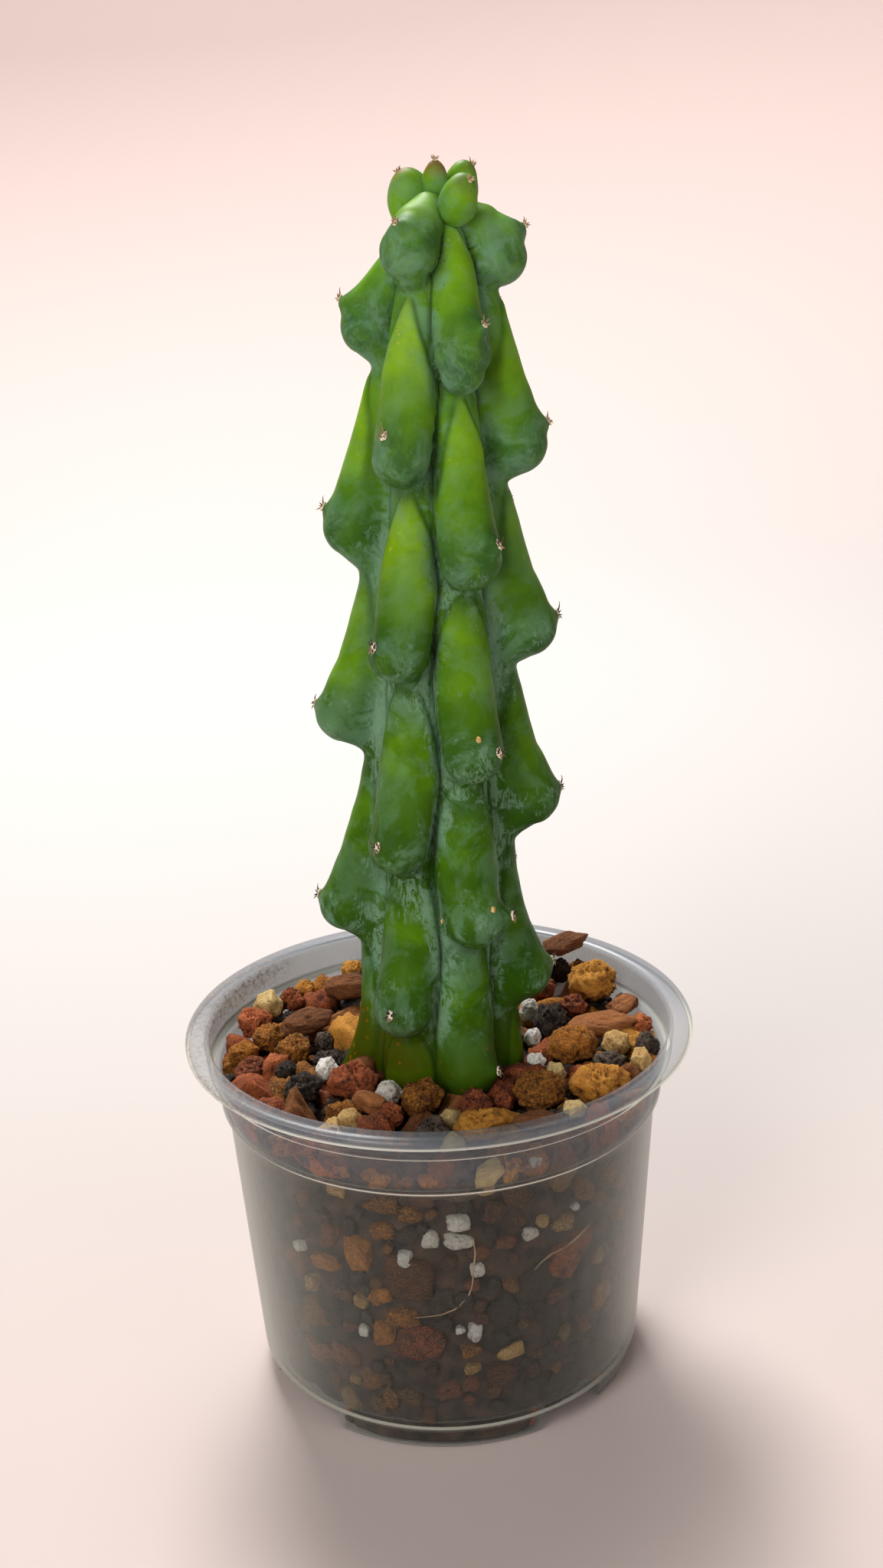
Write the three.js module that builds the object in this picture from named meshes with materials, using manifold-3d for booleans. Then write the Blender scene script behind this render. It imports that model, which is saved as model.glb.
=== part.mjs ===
// A column cactus with breast-shaped tubercles, standing in a clear nursery pot of mixed grit.
// Millimetres, +Z up. The origin is on the pot's axis, on the surface that its feet stand on.
// -Y is the front. An azimuth is in degrees from -Y, and positive towards +X.

import * as THREE from "three";
import { mergeVertices } from "three/addons/utils/BufferGeometryUtils.js";
import { ConvexGeometry } from "three/addons/geometries/ConvexGeometry.js";
import Module from "manifold-3d";

const wasm = await Module();
wasm.setup();

// Clearance between pieces that touch
const GAP = 0.32;
const SOCKET_GAP = 0.6;

// Pot
const POT_HEIGHT = 88.6;
const RIM_RADIUS = 60;
const MOUTH_RADIUS = 54.7;
const SKIRT_BOTTOM = 84.2;
const UPPER_LEDGE = { radius: 54.5, height: 80.8 };
const LOWER_LEDGE = { radius: 51.7, height: 70.9 };
const BASE_RADIUS = 46.4;
const BASE_LINE = 6.1;
const FOOT_RADIUS = 44.6;
const WALL = 1.0;
const POT_SIDES = 48;
const RECESS_RADIUS = 24;
const RECESS_HEIGHT = 5.0;
const FOOT_AZIMUTHS = [-4.5, 83.5, 169, 255];
const FOOT_HALF_ANGLE = 31.5;
const FOOT_SLANT = 3.5;
const DRAIN_RADIUS = 3.5;
const DRAIN_CIRCLE = 34;

// Bed of grit
const BED_FRONT_LEVEL = 75.5;
const BED_SLOPE = 0.045;
const BED_EDGE = 50;
const MOUND = { x: 36, y: 30, spread: 15, rise: 3.5 };
const GRIT_SIZE = 9.5;
const GRIT_SEED = 7;

// Cactus
const SOIL_LEVEL = 79;
const STEM_FOOT = 62;
const LEAN = 0.032;
const STEM_COLUMNS = 44;
const STEM_ROWS = 78;
const RAY_DIP = -22;
const CROWN_ORIGIN = 263;

// Each rib: its azimuth, the azimuth that its areoles point to, and the heights of its areoles
const RIBS = [
  { azimuth: -87, nose: -92, areoles: [254.5, 210.7, 166.5, 120.4, 76] },
  { azimuth: -25, nose: -31, areoles: [270.3, 228.5, 185, 141, 100.5, 60] },
  { azimuth: 21, nose: 31, areoles: [249.7, 205.5, 161.5, 122.4, 84] },
  { azimuth: 84, nose: 89, areoles: [268.1, 227.5, 185.2, 145.1, 101.8, 62] },
  { azimuth: 147, nose: 141, areoles: [252, 208, 164, 121, 80] },
  { azimuth: 210, nose: 216, areoles: [269, 228, 185, 142, 101, 62] },
];

// Height, then the stem's radius at the waist of a rib there
const WAIST = [[60, 20], [79, 19.6], [92, 18.2], [134, 17], [175, 15.9], [217, 14], [242, 12.2],
  [258, 10.6], [270, 7], [290, 2]];
// Height of an areole, then its distance from the stem's axis
const REACH = [[60, 22.5], [100, 26.2], [121, 27.8], [166, 27.4], [185, 26.4], [208, 25], [228, 24],
  [252, 20.8], [270, 18.6]];
// Height of an areole, then how far below it its bulb hangs
const DROOP = [[160, 1.2], [190, 2], [208, 3.4], [228, 4.2], [250, 5], [270, 5.6]];
const BULB = [[205, 6.6], [228, 6.2], [270, 6]];
// Height, then the width of the fillet where a tubercle runs into its rib
const FILLET = [[180, 4.2], [230, 3], [260, 2]];

// Young buds of the crown: azimuth, distance from the axis, height and radius of the two ends
const BUDS = [
  { low: [30, 8.8, 273.4, 3.9], high: [32, 9.6, 275.6, 3.6], tip: [34, 12.4, 277.9] },
  { low: [-117, 6.2, 274, 4.1], high: [-112, 7.4, 276.6, 3.9], tip: [-104, 9.8, 280] },
  { low: [180, 0.4, 275, 2.9], high: [180, 0.2, 278.8, 2.5], tip: [0, 0.2, 281.6] },
  { low: [137, 7.2, 273, 3.7], high: [136, 8.4, 277.2, 3.6], tip: [132, 10.2, 280.6] },
];

const AREOLE_RADIUS = 1.25;
const SPINE_LENGTH = 3.0;
const SPINE_RADIUS = 0.32;

// Loose stones on the bed: kind, place, width, height, turn, and lift above the bed's own level
const STONES = [
  ["cream_pebble", -44, 23, 7.6, 8.0, 10, 0], ["ochre_pumice", -34, 34, 6.9, 4.6, 40, 0],
  ["red_lava", -38, 27, 6.8, 5.9, 75, 0], ["brown_bark", -23, 30, 9.4, 9.0, 20, 0.5],
  ["ochre_pumice", -22, 43, 6.0, 5.3, 0, 0], ["brown_bark", -35, 11, 11, 9.0, 55, 0.5],
  ["red_lava", -46.5, 15, 9.1, 7.5, 15, 0], ["ochre_pumice", -41.5, 9.5, 9.0, 6.6, 5, 0],
  ["ochre_pumice", -46, 2.5, 8.1, 5.7, 30, 0], ["ochre_pumice", -34.5, 0.5, 10.5, 7.3, 12, 0],
  ["red_lava", -45, -6, 8.8, 4.8, 60, 0], ["black_lava", -36.5, -8, 5.4, 4.8, 0, 0],
  ["black_lava", -32, -17.5, 9.3, 7.0, 25, 0], ["white_perlite", -26, -11, 5.0, 7.1, 0, 0],
  ["red_lava", -20.5, -16, 12, 9.2, 18, 0], ["white_perlite", -10.5, -18, 7.0, 6.2, 10, 0],
  ["brown_bark", -15, -25, 6.1, 8.0, 70, 0], ["red_lava", -11.5, -30, 5.2, 6.1, 80, 0],
  ["cream_pebble", -20, -30, 6.2, 5.2, 0, 0], ["ochre_pumice", -4.5, -24, 10, 8.2, 8, 0],
  ["red_lava", 5, -20, 8.4, 6.2, 0, 0], ["ochre_pumice", 7, -30, 12.2, 6.8, 4, 0],
  ["black_lava", -1, -36, 8.4, 4.8, 0, 0], ["red_lava", 14.5, -25, 4.8, 4.8, 30, 0],
  ["ochre_pumice", 22, -24, 11.5, 9.6, 35, 0], ["cream_pebble", 27, -15, 5.5, 6.2, 0, 0],
  ["brown_bark", 21, -34, 9.8, 5.3, 10, 0], ["cream_pebble", 30, -30, 6.1, 4.8, 0, 0],
  ["ochre_pumice", 36, -20.5, 14.5, 8.2, 12, 0], ["ochre_pumice", 31, -4, 12.4, 9.2, 20, 0],
  ["black_lava", 28, 8, 9.0, 8.0, 0, 0], ["red_lava", 26, 23, 10, 6.7, 40, 0],
  ["white_perlite", 22, 13.5, 5.0, 5.8, 0, 0], ["brown_bark", 42, 8, 14.5, 8.0, 14, -1.2],
  ["ochre_pumice", 39, 21, 13, 9.6, 25, 0], ["cream_pebble", 42.5, -1.5, 8.1, 6.4, 70, 0],
  ["cream_pebble", 47, -11, 5.2, 7.1, 0, 0], ["black_lava", 40, -9.5, 7.9, 5.5, 30, 0],
  ["black_lava", 50, -3, 6.2, 6.2, 0, 0], ["brown_bark", 48.5, 17, 8.6, 6.5, 50, -1.5],
  ["brown_bark", 33, 34, 11.5, 7.0, 35, 6], ["black_lava", 30, 30, 6.8, 6.0, 0, 1],
  ["red_lava", 34, 14.5, 6.6, 5.8, 0, 0], ["red_lava", 50.5, 7, 4.4, 5.4, 80, 0],
  ["white_perlite", 22.5, 3, 4.6, 4.8, 0, 0], ["white_perlite", 23, -7, 5.6, 4.2, 0, 0],
  ["black_lava", -24.5, -2, 6.2, 4.8, 0, 0], ["black_lava", -28, 6, 4.8, 4.8, 0, 0],
];
const STONE_SINK = 0.42;
const STONE_CORNERS = 14;
const STONE_SEED = 21;

const COLOURS = {
  cactus: [0x5f8a2c, 0.5], pot: [0xb9c2c0, 0.25], bed: [0x5b4332, 0.95],
  ochre_pumice: [0xb07a2e, 0.95], red_lava: [0x9c4f33, 0.95], black_lava: [0x3a3433, 0.95],
  brown_bark: [0x7a4a2c, 0.9], white_perlite: [0xe9e5dc, 0.95], cream_pebble: [0xd8bb7c, 0.85],
};

const radians = (degrees) => (degrees * Math.PI) / 180;

// A repeatable random number from 0 to 1, by a small integer hash that counts on from the seed
function randomFrom(seed) {
  let state = seed >>> 0;
  return () => {
    state = (state + 0x6d2b79f5) >>> 0;
    let word = Math.imul(state ^ (state >>> 15), state | 1);
    word ^= word + Math.imul(word ^ (word >>> 7), word | 61);
    return ((word ^ (word >>> 14)) >>> 0) / 4294967296;
  };
}

// The value of a table of [place, value] pairs, on straight lines between them
function along(table, place) {
  if (place <= table[0][0]) return table[0][1];
  for (let i = 1; i < table.length; i += 1) {
    const [start, from] = table[i - 1];
    const [end, to] = table[i];
    if (place <= end) return from + ((to - from) * (place - start)) / (end - start);
  }
  return table[table.length - 1][1];
}

// A point at an azimuth, a distance from the axis and a height
function polar(azimuth, distance, height) {
  const turn = radians(azimuth);
  return new THREE.Vector3(distance * Math.sin(turn), -distance * Math.cos(turn), height);
}

// A closed geometry as a solid with shared corners and its faces pointing out
function solidOf(geometry) {
  const bare = geometry.clone();
  bare.deleteAttribute("normal");
  bare.deleteAttribute("uv");
  const merged = mergeVertices(bare, 1e-5);
  const points = merged.attributes.position.array;
  const corners = merged.index.array;
  const faces = [];
  let volume = 0;
  for (let i = 0; i < corners.length; i += 3) {
    const [a, b, c] = corners.slice(i, i + 3);
    if (a === b || b === c || c === a) continue;
    faces.push(a, b, c);
    const [p, q, r] = [a, b, c].map((k) => new THREE.Vector3().fromArray(points, 3 * k));
    volume += p.dot(q.cross(r));
  }
  if (volume < 0) faces.reverse();
  return new wasm.Manifold(new wasm.Mesh({
    numProp: 3,
    vertProperties: new Float32Array(points),
    triVerts: new Uint32Array(faces),
  }));
}

// A solid as a named mesh
function meshOf(name, solid, kind) {
  const { vertProperties, triVerts } = solid.getMesh();
  const geometry = new THREE.BufferGeometry();
  geometry.setAttribute("position", new THREE.BufferAttribute(vertProperties, 3));
  geometry.setIndex(new THREE.BufferAttribute(triVerts, 1));
  geometry.computeVertexNormals();
  const [color, roughness] = COLOURS[kind];
  const material = new THREE.MeshStandardMaterial({ color, roughness, metalness: 0 });
  if (kind === "pot") Object.assign(material, { transparent: true, opacity: 0.4 });
  const mesh = new THREE.Mesh(geometry, material);
  mesh.name = name;
  return mesh;
}

// A profile of [radius, height] points, turned about the pot's axis
function turned(profile) {
  const points = profile.map(([radius, height]) => new THREE.Vector2(radius, height));
  return solidOf(new THREE.LatheGeometry(points, POT_SIDES).rotateX(Math.PI / 2));
}

// The space below the floor: a round recess and a slanted channel between each two feet.
// It grows on every side by the margin.
function undercut(margin) {
  const recess = new THREE.CylinderGeometry(1, 1, 1, POT_SIDES).rotateX(Math.PI / 2);
  const depth = RECESS_HEIGHT + margin + 2;
  recess.scale(RECESS_RADIUS + margin, RECESS_RADIUS + margin, depth);
  recess.translate(0, 0, RECESS_HEIGHT + margin - depth / 2);
  const channels = FOOT_AZIMUTHS.map((foot, i) => {
    const next = FOOT_AZIMUTHS[i + 1] ?? FOOT_AZIMUTHS[0] + 360;
    const spare = (margin / FOOT_RADIUS) * (180 / Math.PI) * 1.3;
    const corners = [];
    for (const [height, slant] of [[-2, 0], [RECESS_HEIGHT + margin, FOOT_SLANT]]) {
      const start = foot + FOOT_HALF_ANGLE + slant - spare;
      const end = next - FOOT_HALF_ANGLE - slant + spare;
      for (const distance of [RECESS_RADIUS - 8, RIM_RADIUS]) {
        corners.push(polar(start, distance, height), polar(end, distance, height));
      }
    }
    return solidOf(new ConvexGeometry(corners));
  });
  return wasm.Manifold.union([solidOf(recess), ...channels]);
}

// The inside of the pot, up through its mouth, drawn in on every side by the clearance
function cavity(clearance) {
  const inset = ([radius, height]) => [Math.max(radius - clearance, 0), height + clearance];
  const profile = [
    [0, WALL],
    [FOOT_RADIUS - WALL - 0.3, WALL],
    [FOOT_RADIUS - WALL, BASE_LINE + WALL],
    [BASE_RADIUS - WALL - 0.1, BASE_LINE + WALL + 0.4],
    [LOWER_LEDGE.radius - WALL - 0.6, LOWER_LEDGE.height - 0.2],
    [LOWER_LEDGE.radius - WALL + 0.8, LOWER_LEDGE.height + 1],
    [UPPER_LEDGE.radius - WALL - 1.2, UPPER_LEDGE.height - 0.2],
    [UPPER_LEDGE.radius - WALL + 0.4, UPPER_LEDGE.height + 0.8],
    [MOUTH_RADIUS - 0.3, POT_HEIGHT - 1.2],
    [MOUTH_RADIUS + 0.3, POT_HEIGHT - 0.4],
    [MOUTH_RADIUS + 1.3, POT_HEIGHT],
    [MOUTH_RADIUS + 1.3, POT_HEIGHT + 12],
  ].map(inset);
  profile.push([0, POT_HEIGHT + 12 + clearance]);
  return turned(profile).subtract(undercut(WALL + clearance));
}

function drainHoles() {
  const places = [new THREE.Vector3(0, 0, 0)];
  FOOT_AZIMUTHS.forEach((foot, i) => {
    const next = FOOT_AZIMUTHS[i + 1] ?? FOOT_AZIMUTHS[0] + 360;
    places.push(polar((foot + next) / 2, DRAIN_CIRCLE, 0));
  });
  const holes = places.map((place) => {
    const hole = new THREE.CylinderGeometry(DRAIN_RADIUS, DRAIN_RADIUS, 4, 12).rotateX(Math.PI / 2);
    return solidOf(hole.translate(place.x, place.y, RECESS_HEIGHT + WALL / 2));
  });
  return wasm.Manifold.union(holes);
}

// A thin clear shell with hollow feet, two stacking ledges and a turned-down rim
function pot() {
  const outside = turned([
    [0, 0],
    [FOOT_RADIUS - 0.6, 0],
    [FOOT_RADIUS - 0.1, 0.6],
    [FOOT_RADIUS, BASE_LINE],
    [BASE_RADIUS - 0.4, BASE_LINE],
    [BASE_RADIUS, BASE_LINE + 0.5],
    [LOWER_LEDGE.radius - 0.6, LOWER_LEDGE.height - 0.6],
    [LOWER_LEDGE.radius, LOWER_LEDGE.height],
    [LOWER_LEDGE.radius + 0.8, LOWER_LEDGE.height + 0.6],
    [UPPER_LEDGE.radius - 1.2, UPPER_LEDGE.height - 0.6],
    [UPPER_LEDGE.radius, UPPER_LEDGE.height],
    [UPPER_LEDGE.radius + 0.6, UPPER_LEDGE.height + 0.6],
    [MOUTH_RADIUS + 0.9, POT_HEIGHT - 2.2],
    [RIM_RADIUS - 1.1, POT_HEIGHT - 2.2],
    [RIM_RADIUS - 1.1, SKIRT_BOTTOM],
    [RIM_RADIUS - 0.3, SKIRT_BOTTOM],
    [RIM_RADIUS, POT_HEIGHT - 1.4],
    [RIM_RADIUS - 0.6, POT_HEIGHT - 0.3],
    [RIM_RADIUS - 1.6, POT_HEIGHT],
    [0, POT_HEIGHT],
  ]);
  return outside.subtract(undercut(0)).subtract(cavity(0)).subtract(drainHoles());
}

// A tubercle is a chain of balls joined by cones: its top on the rib, its slope, its bulb and its
// chin, with a nose from the bulb to the areole. The youngest are short, the older ones long.
function tubercle(rib, height) {
  const reach = along(REACH, height);
  const droop = along(DROOP, height);
  const bulbRadius = along(BULB, height);
  const at = (distance, rise) => polar(rib.azimuth, distance, height + rise);
  const bulb = [at(reach - 6.9, -droop), bulbRadius];
  const tip = [polar(rib.nose, reach - 1, height), 1.3];
  const nose = [bulb[0].clone().lerp(tip[0], 0.35), bulbRadius * 0.62];
  let top = [at(reach - 15.7, 28), 4.7];
  let slope = [at(reach - 11.9, 9), 5.8];
  let chin = [at(reach - 11.2, -droop - 4.2), bulbRadius - 1.3];
  if (height > 262) {
    top = [at(3.4, 3), 4.6];
    slope = [at(reach - 10.4, -0.2), 5.9];
    chin = [at(reach - 8.5, -droop - 2.6), 5.2];
  } else if (height > 245) {
    top = [at(5.6, 17), 3.8];
    slope = [at(reach - 12.6, 7), 5.3];
    chin = [at(reach - 9, -droop - 3), 5.2];
  }
  return { height, tip, bulb, body: [[top, slope], [slope, bulb], [bulb, chin]], nose: [nose, tip] };
}

const ribs = RIBS.map((rib) => ({
  ...rib,
  out: polar(rib.azimuth, 1, 0),
  tubercles: rib.areoles.map((height) => tubercle(rib, height)),
}));

// The distance from a point to two balls and the cone between them
function toCone(point, [[start, startRadius], [end, endRadius]]) {
  const [dx, dy, dz] = [end.x - start.x, end.y - start.y, end.z - start.z];
  const [px, py, pz] = [point.x - start.x, point.y - start.y, point.z - start.z];
  const raw = (px * dx + py * dy + pz * dz) / (dx * dx + dy * dy + dz * dz);
  const share = Math.min(Math.max(raw, 0), 1);
  const gone = Math.hypot(px - share * dx, py - share * dy, pz - share * dz);
  return gone - startRadius - (endRadius - startRadius) * share;
}

// The smaller of two distances, with a fillet where they are nearly equal
function blend(a, b, fillet) {
  const share = Math.min(Math.max(0.5 + (0.5 * (b - a)) / fillet, 0), 1);
  return b + (a - b) * share - fillet * share * (1 - share);
}

// Below zero inside the stem, above zero outside. Each rib is a round column with its tubercles
// filleted on; neighbouring ribs meet in a crease.
function stemField(x, y, z) {
  const point = new THREE.Vector3(x - LEAN * (z - SOIL_LEVEL), y, z);
  const waist = along(WAIST, z);
  const thickness = 0.46 * waist;
  const fillet = along(FILLET, z);
  let distance = Math.max(Math.hypot(point.x, y) - 0.74 * waist, z - CROWN_ORIGIN + 1);
  for (const rib of ribs) {
    const forward = point.x * rib.out.x + y * rib.out.y;
    const across = point.x * rib.out.y - y * rib.out.x;
    let own = Math.hypot(forward - waist + thickness, across) - thickness;
    own = Math.max(own, z - CROWN_ORIGIN + 3);
    for (const one of rib.tubercles) {
      if (z > one.height + 42 || z < one.height - 24) continue;
      const body = Math.min(...one.body.map((cone) => toCone(point, cone)));
      own = blend(own, blend(body, toCone(point, one.nose), 2.4), fillet);
    }
    distance = blend(distance, own, 0.6);
  }
  return Math.max(distance, STEM_FOOT - z);
}

// Walks in along a ray from outside until it meets the stem
function surfacePoint(origin, direction) {
  let travel = 42;
  for (let step = 0; step < 90; step += 1) {
    const point = origin.clone().addScaledVector(direction, travel);
    const distance = stemField(point.x, point.y, point.z);
    if (distance < 0.01) break;
    travel = Math.max(travel - 0.8 * distance, 0.3);
  }
  return origin.clone().addScaledVector(direction, travel);
}

// A point of the upright stem, moved over as the stem leans
const leaned = (point) => new THREE.Vector3(point.x + LEAN * (point.z - SOIL_LEVEL), point.y, point.z);

// The areoles of the ribs: each one's place on the skin, and the way that it points
const areoles = ribs.flatMap((rib) => rib.tubercles.map(({ height, tip, bulb }) => {
  const start = leaned(bulb[0]);
  const outward = leaned(tip[0]).sub(start).normalize();
  return { height, outward, skin: surfacePoint(start, outward) };
}));

// Moves the corner that is nearest to a place onto it, so that a coarse skin reaches each nose
function moveNearestCorner(positions, place) {
  let nearest = 0;
  let least = Infinity;
  for (let k = 0; k < positions.length; k += 3) {
    const away = Math.hypot(positions[k] - place.x, positions[k + 1] - place.y, positions[k + 2] - place.z);
    if (away < least) [nearest, least] = [k, away];
  }
  [positions[nearest], positions[nearest + 1], positions[nearest + 2]] = place.toArray();
}

// The stem's skin, on rays from its leaning axis: they fan out at the crown, dip along the column
// so that the undersides show, and fan in at the buried foot
function stemColumn() {
  const positions = [];
  const index = [];
  const rowAt = [[0, 90, CROWN_ORIGIN], [0.16, RAY_DIP, CROWN_ORIGIN - 4], [0.95, RAY_DIP, 70],
    [1, -90, 66]];
  for (let row = 0; row <= STEM_ROWS; row += 1) {
    const share = row / STEM_ROWS;
    const elevation = radians(along(rowAt.map(([s, degrees]) => [s, degrees]), share));
    const height = along(rowAt.map(([s, , z]) => [s, z]), share);
    const origin = new THREE.Vector3(LEAN * (height - SOIL_LEVEL), 0, height);
    const pole = row === 0 || row === STEM_ROWS;
    for (let column = 0; column < (pole ? 1 : STEM_COLUMNS); column += 1) {
      const ray = polar((360 * column) / STEM_COLUMNS, Math.cos(elevation), Math.sin(elevation));
      positions.push(...surfacePoint(origin, ray).toArray());
    }
  }
  for (const { height, skin } of areoles) {
    if (height > SOIL_LEVEL) moveNearestCorner(positions, skin);
  }
  const at = (row, column) => {
    if (row === 0) return 0;
    if (row === STEM_ROWS) return positions.length / 3 - 1;
    return 1 + (row - 1) * STEM_COLUMNS + (column % STEM_COLUMNS);
  };
  const corner = (k) => new THREE.Vector3().fromArray(positions, 3 * k);
  for (let row = 0; row < STEM_ROWS; row += 1) {
    for (let column = 0; column < STEM_COLUMNS; column += 1) {
      const [a, b] = [at(row, column), at(row, column + 1)];
      const [c, d] = [at(row + 1, column + 1), at(row + 1, column)];
      if (row === 0) index.push(a, c, d);
      else if (row === STEM_ROWS - 1) index.push(a, b, c);
      else if (corner(a).distanceTo(corner(c)) < corner(b).distanceTo(corner(d))) {
        index.push(a, b, c, a, c, d);
      } else index.push(a, b, d, b, c, d);
    }
  }
  const geometry = new THREE.BufferGeometry();
  geometry.setAttribute("position", new THREE.Float32BufferAttribute(positions, 3));
  geometry.setIndex(index);
  return solidOf(geometry);
}

// An egg-shaped bud: a ball drawn out from its low end to its high end
function bud({ low, high }) {
  const [start, end] = [low, high].map(([azimuth, distance, z]) => leaned(polar(azimuth, distance, z)));
  const axis = end.clone().sub(start);
  const radius = (low[3] + high[3]) / 2;
  const egg = new THREE.SphereGeometry(1, 10, 7).rotateX(Math.PI / 2);
  egg.scale(radius, radius, radius + axis.length() / 2);
  const upright = new THREE.Vector3(0, 0, 1);
  egg.applyQuaternion(new THREE.Quaternion().setFromUnitVectors(upright, axis.normalize()));
  const middle = start.lerp(end, 0.5);
  return solidOf(egg.translate(middle.x, middle.y, middle.z));
}

// A felt cushion with two short spines, on the skin where an areole points out
function areole(place, outward, turn) {
  const cushion = new THREE.OctahedronGeometry(AREOLE_RADIUS);
  const centre = place.clone().addScaledVector(outward, -0.3);
  const pieces = [solidOf(cushion.translate(centre.x, centre.y, centre.z))];
  const side = new THREE.Vector3(0, 0, 1).cross(outward).normalize();
  const up = outward.clone().cross(side);
  for (const spread of [20, 200]) {
    const angle = radians(spread + turn);
    const lean = up.clone().multiplyScalar(Math.cos(angle)).addScaledVector(side, Math.sin(angle));
    const direction = outward.clone().multiplyScalar(0.75).addScaledVector(lean, 0.65).normalize();
    const spine = new THREE.ConeGeometry(SPINE_RADIUS, SPINE_LENGTH + 0.8, 3);
    spine.translate(0, SPINE_LENGTH / 2 - 0.4, 0);
    const upright = new THREE.Vector3(0, 1, 0);
    spine.applyQuaternion(new THREE.Quaternion().setFromUnitVectors(upright, direction));
    pieces.push(solidOf(spine.translate(centre.x, centre.y, centre.z)));
  }
  return pieces;
}

function cactusStem() {
  const pieces = [stemColumn(), ...BUDS.map(bud)];
  for (const { height, skin, outward } of areoles) {
    if (height > SOIL_LEVEL + 10) pieces.push(...areole(skin, outward, 40 * Math.sin(height)));
  }
  for (const { high, tip } of BUDS) {
    const place = leaned(polar(...tip));
    const outward = place.clone().sub(leaned(polar(...high.slice(0, 3)))).normalize();
    pieces.push(...areole(place.addScaledVector(outward, -0.8), outward, 0));
  }
  return wasm.Manifold.union(pieces);
}

// How far the stem reaches from the pot's axis towards an azimuth, near a height
function stemReach(azimuth, height) {
  const ray = polar(azimuth, 1, 0);
  return Math.max(...[-3, -1.5, 0, 1.5, 3].map((rise) => {
    const origin = new THREE.Vector3(0, 0, Math.max(height + rise, STEM_FOOT + 0.1));
    return surfacePoint(origin, ray).sub(origin).length();
  }));
}

// The plain hole that the stem stands in: rings round the buried foot, a little wider than it
function stemSocket() {
  const heights = [STEM_FOOT - GAP, 66, 70, 74, 78, 83, 90];
  const rings = heights.map((height) => Array.from({ length: STEM_COLUMNS }, (_, column) => {
    const azimuth = (360 * column) / STEM_COLUMNS;
    return polar(azimuth, stemReach(azimuth, height) + SOCKET_GAP, height);
  }));
  const positions = rings.flatMap((ring) => ring.flatMap((point) => point.toArray()));
  positions.push(0, 0, heights[0], 0, 0, heights[heights.length - 1]);
  const [low, high] = [positions.length / 3 - 2, positions.length / 3 - 1];
  const index = [];
  const top = (heights.length - 1) * STEM_COLUMNS;
  for (let column = 0; column < STEM_COLUMNS; column += 1) {
    const next = (column + 1) % STEM_COLUMNS;
    index.push(low, next, column, high, top + column, top + next);
    for (let start = 0; start < top; start += STEM_COLUMNS) {
      const [a, b] = [start + column, start + next];
      index.push(a, b, b + STEM_COLUMNS, a, b + STEM_COLUMNS, a + STEM_COLUMNS);
    }
  }
  const geometry = new THREE.BufferGeometry();
  geometry.setAttribute("position", new THREE.Float32BufferAttribute(positions, 3));
  geometry.setIndex(index);
  return solidOf(geometry);
}

// The top of the bed: it rises towards the back, with a mound at the back right
function bedLevel(x, y) {
  const away = (x - MOUND.x) ** 2 + (y - MOUND.y) ** 2;
  const mound = MOUND.rise * Math.exp(-away / (2 * MOUND.spread ** 2));
  return BED_FRONT_LEVEL + BED_SLOPE * (y + BED_EDGE) + mound;
}

// How far a stone reaches from its middle towards a direction on the ground
function span({ half, turn }, dx, dy) {
  const angle = Math.atan2(dy, dx) - radians(turn);
  return 1 / Math.hypot(Math.cos(angle) / half[0], Math.sin(angle) / half[1]);
}

// Moves the loose stones apart until each is clear of its neighbours, the wall and the stem
function settledStones() {
  const random = randomFrom(STONE_SEED);
  const stones = STONES.map(([kind, x, y, width, height, turn, lift]) => {
    const depth = (width + height) / 2;
    return { kind, x, y, half: [width / 2, depth / 2, height / 2], turn, lift, shape: random() };
  });
  const collar = Array.from({ length: 72 }, (_, i) => {
    return Math.max(stemReach(5 * i, SOIL_LEVEL), stemReach(5 * i, SOIL_LEVEL + 5)) + SOCKET_GAP;
  });
  for (let pass = 0; pass < 160; pass += 1) {
    for (const a of stones) {
      for (const b of stones) {
        if (a === b || Math.abs(a.lift - b.lift) > 3) continue;
        const [dx, dy] = [b.x - a.x, b.y - a.y];
        const apart = Math.hypot(dx, dy);
        const overlap = span(a, dx, dy) + span(b, dx, dy) + GAP - apart;
        if (overlap <= 0) continue;
        a.x -= (0.25 * overlap * dx) / apart;
        a.y -= (0.25 * overlap * dy) / apart;
        b.x += (0.25 * overlap * dx) / apart;
        b.y += (0.25 * overlap * dy) / apart;
      }
      const distance = Math.hypot(a.x, a.y);
      const own = span(a, a.x, a.y);
      const widest = MOUTH_RADIUS - 2.4 - own;
      const azimuth = (Math.atan2(a.x, -a.y) * 180) / Math.PI + 360;
      const nearest = collar[Math.round(azimuth / 5) % 72] + own;
      const wanted = Math.min(Math.max(distance, nearest), widest);
      a.x *= wanted / distance;
      a.y *= wanted / distance;
    }
  }
  for (const stone of stones) {
    stone.z = bedLevel(stone.x, stone.y) + 2 * stone.half[2] * STONE_SINK + stone.lift;
  }
  return stones;
}

// A rough stone: the hull of points spread evenly over an ellipsoid, each drawn in a little
function stoneHull({ x, y, z, half, turn, shape }, margin, corners) {
  const random = randomFrom(Math.floor(shape * 1e6));
  const golden = Math.PI * (3 - Math.sqrt(5));
  const points = [];
  for (let i = 0; i < corners; i += 1) {
    const rise = 1 - (2 * (i + 0.5)) / corners;
    const ring = Math.sqrt(1 - rise * rise);
    const angle = i * golden + 0.5 * random();
    const size = 0.86 + 0.14 * random();
    points.push(new THREE.Vector3(
      (half[0] + margin) * size * ring * Math.cos(angle),
      (half[1] + margin) * size * ring * Math.sin(angle),
      (half[2] + margin) * size * rise,
    ).applyAxisAngle(new THREE.Vector3(0, 0, 1), radians(turn)).add(new THREE.Vector3(x, y, z)));
  }
  return solidOf(new ConvexGeometry(points));
}

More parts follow.
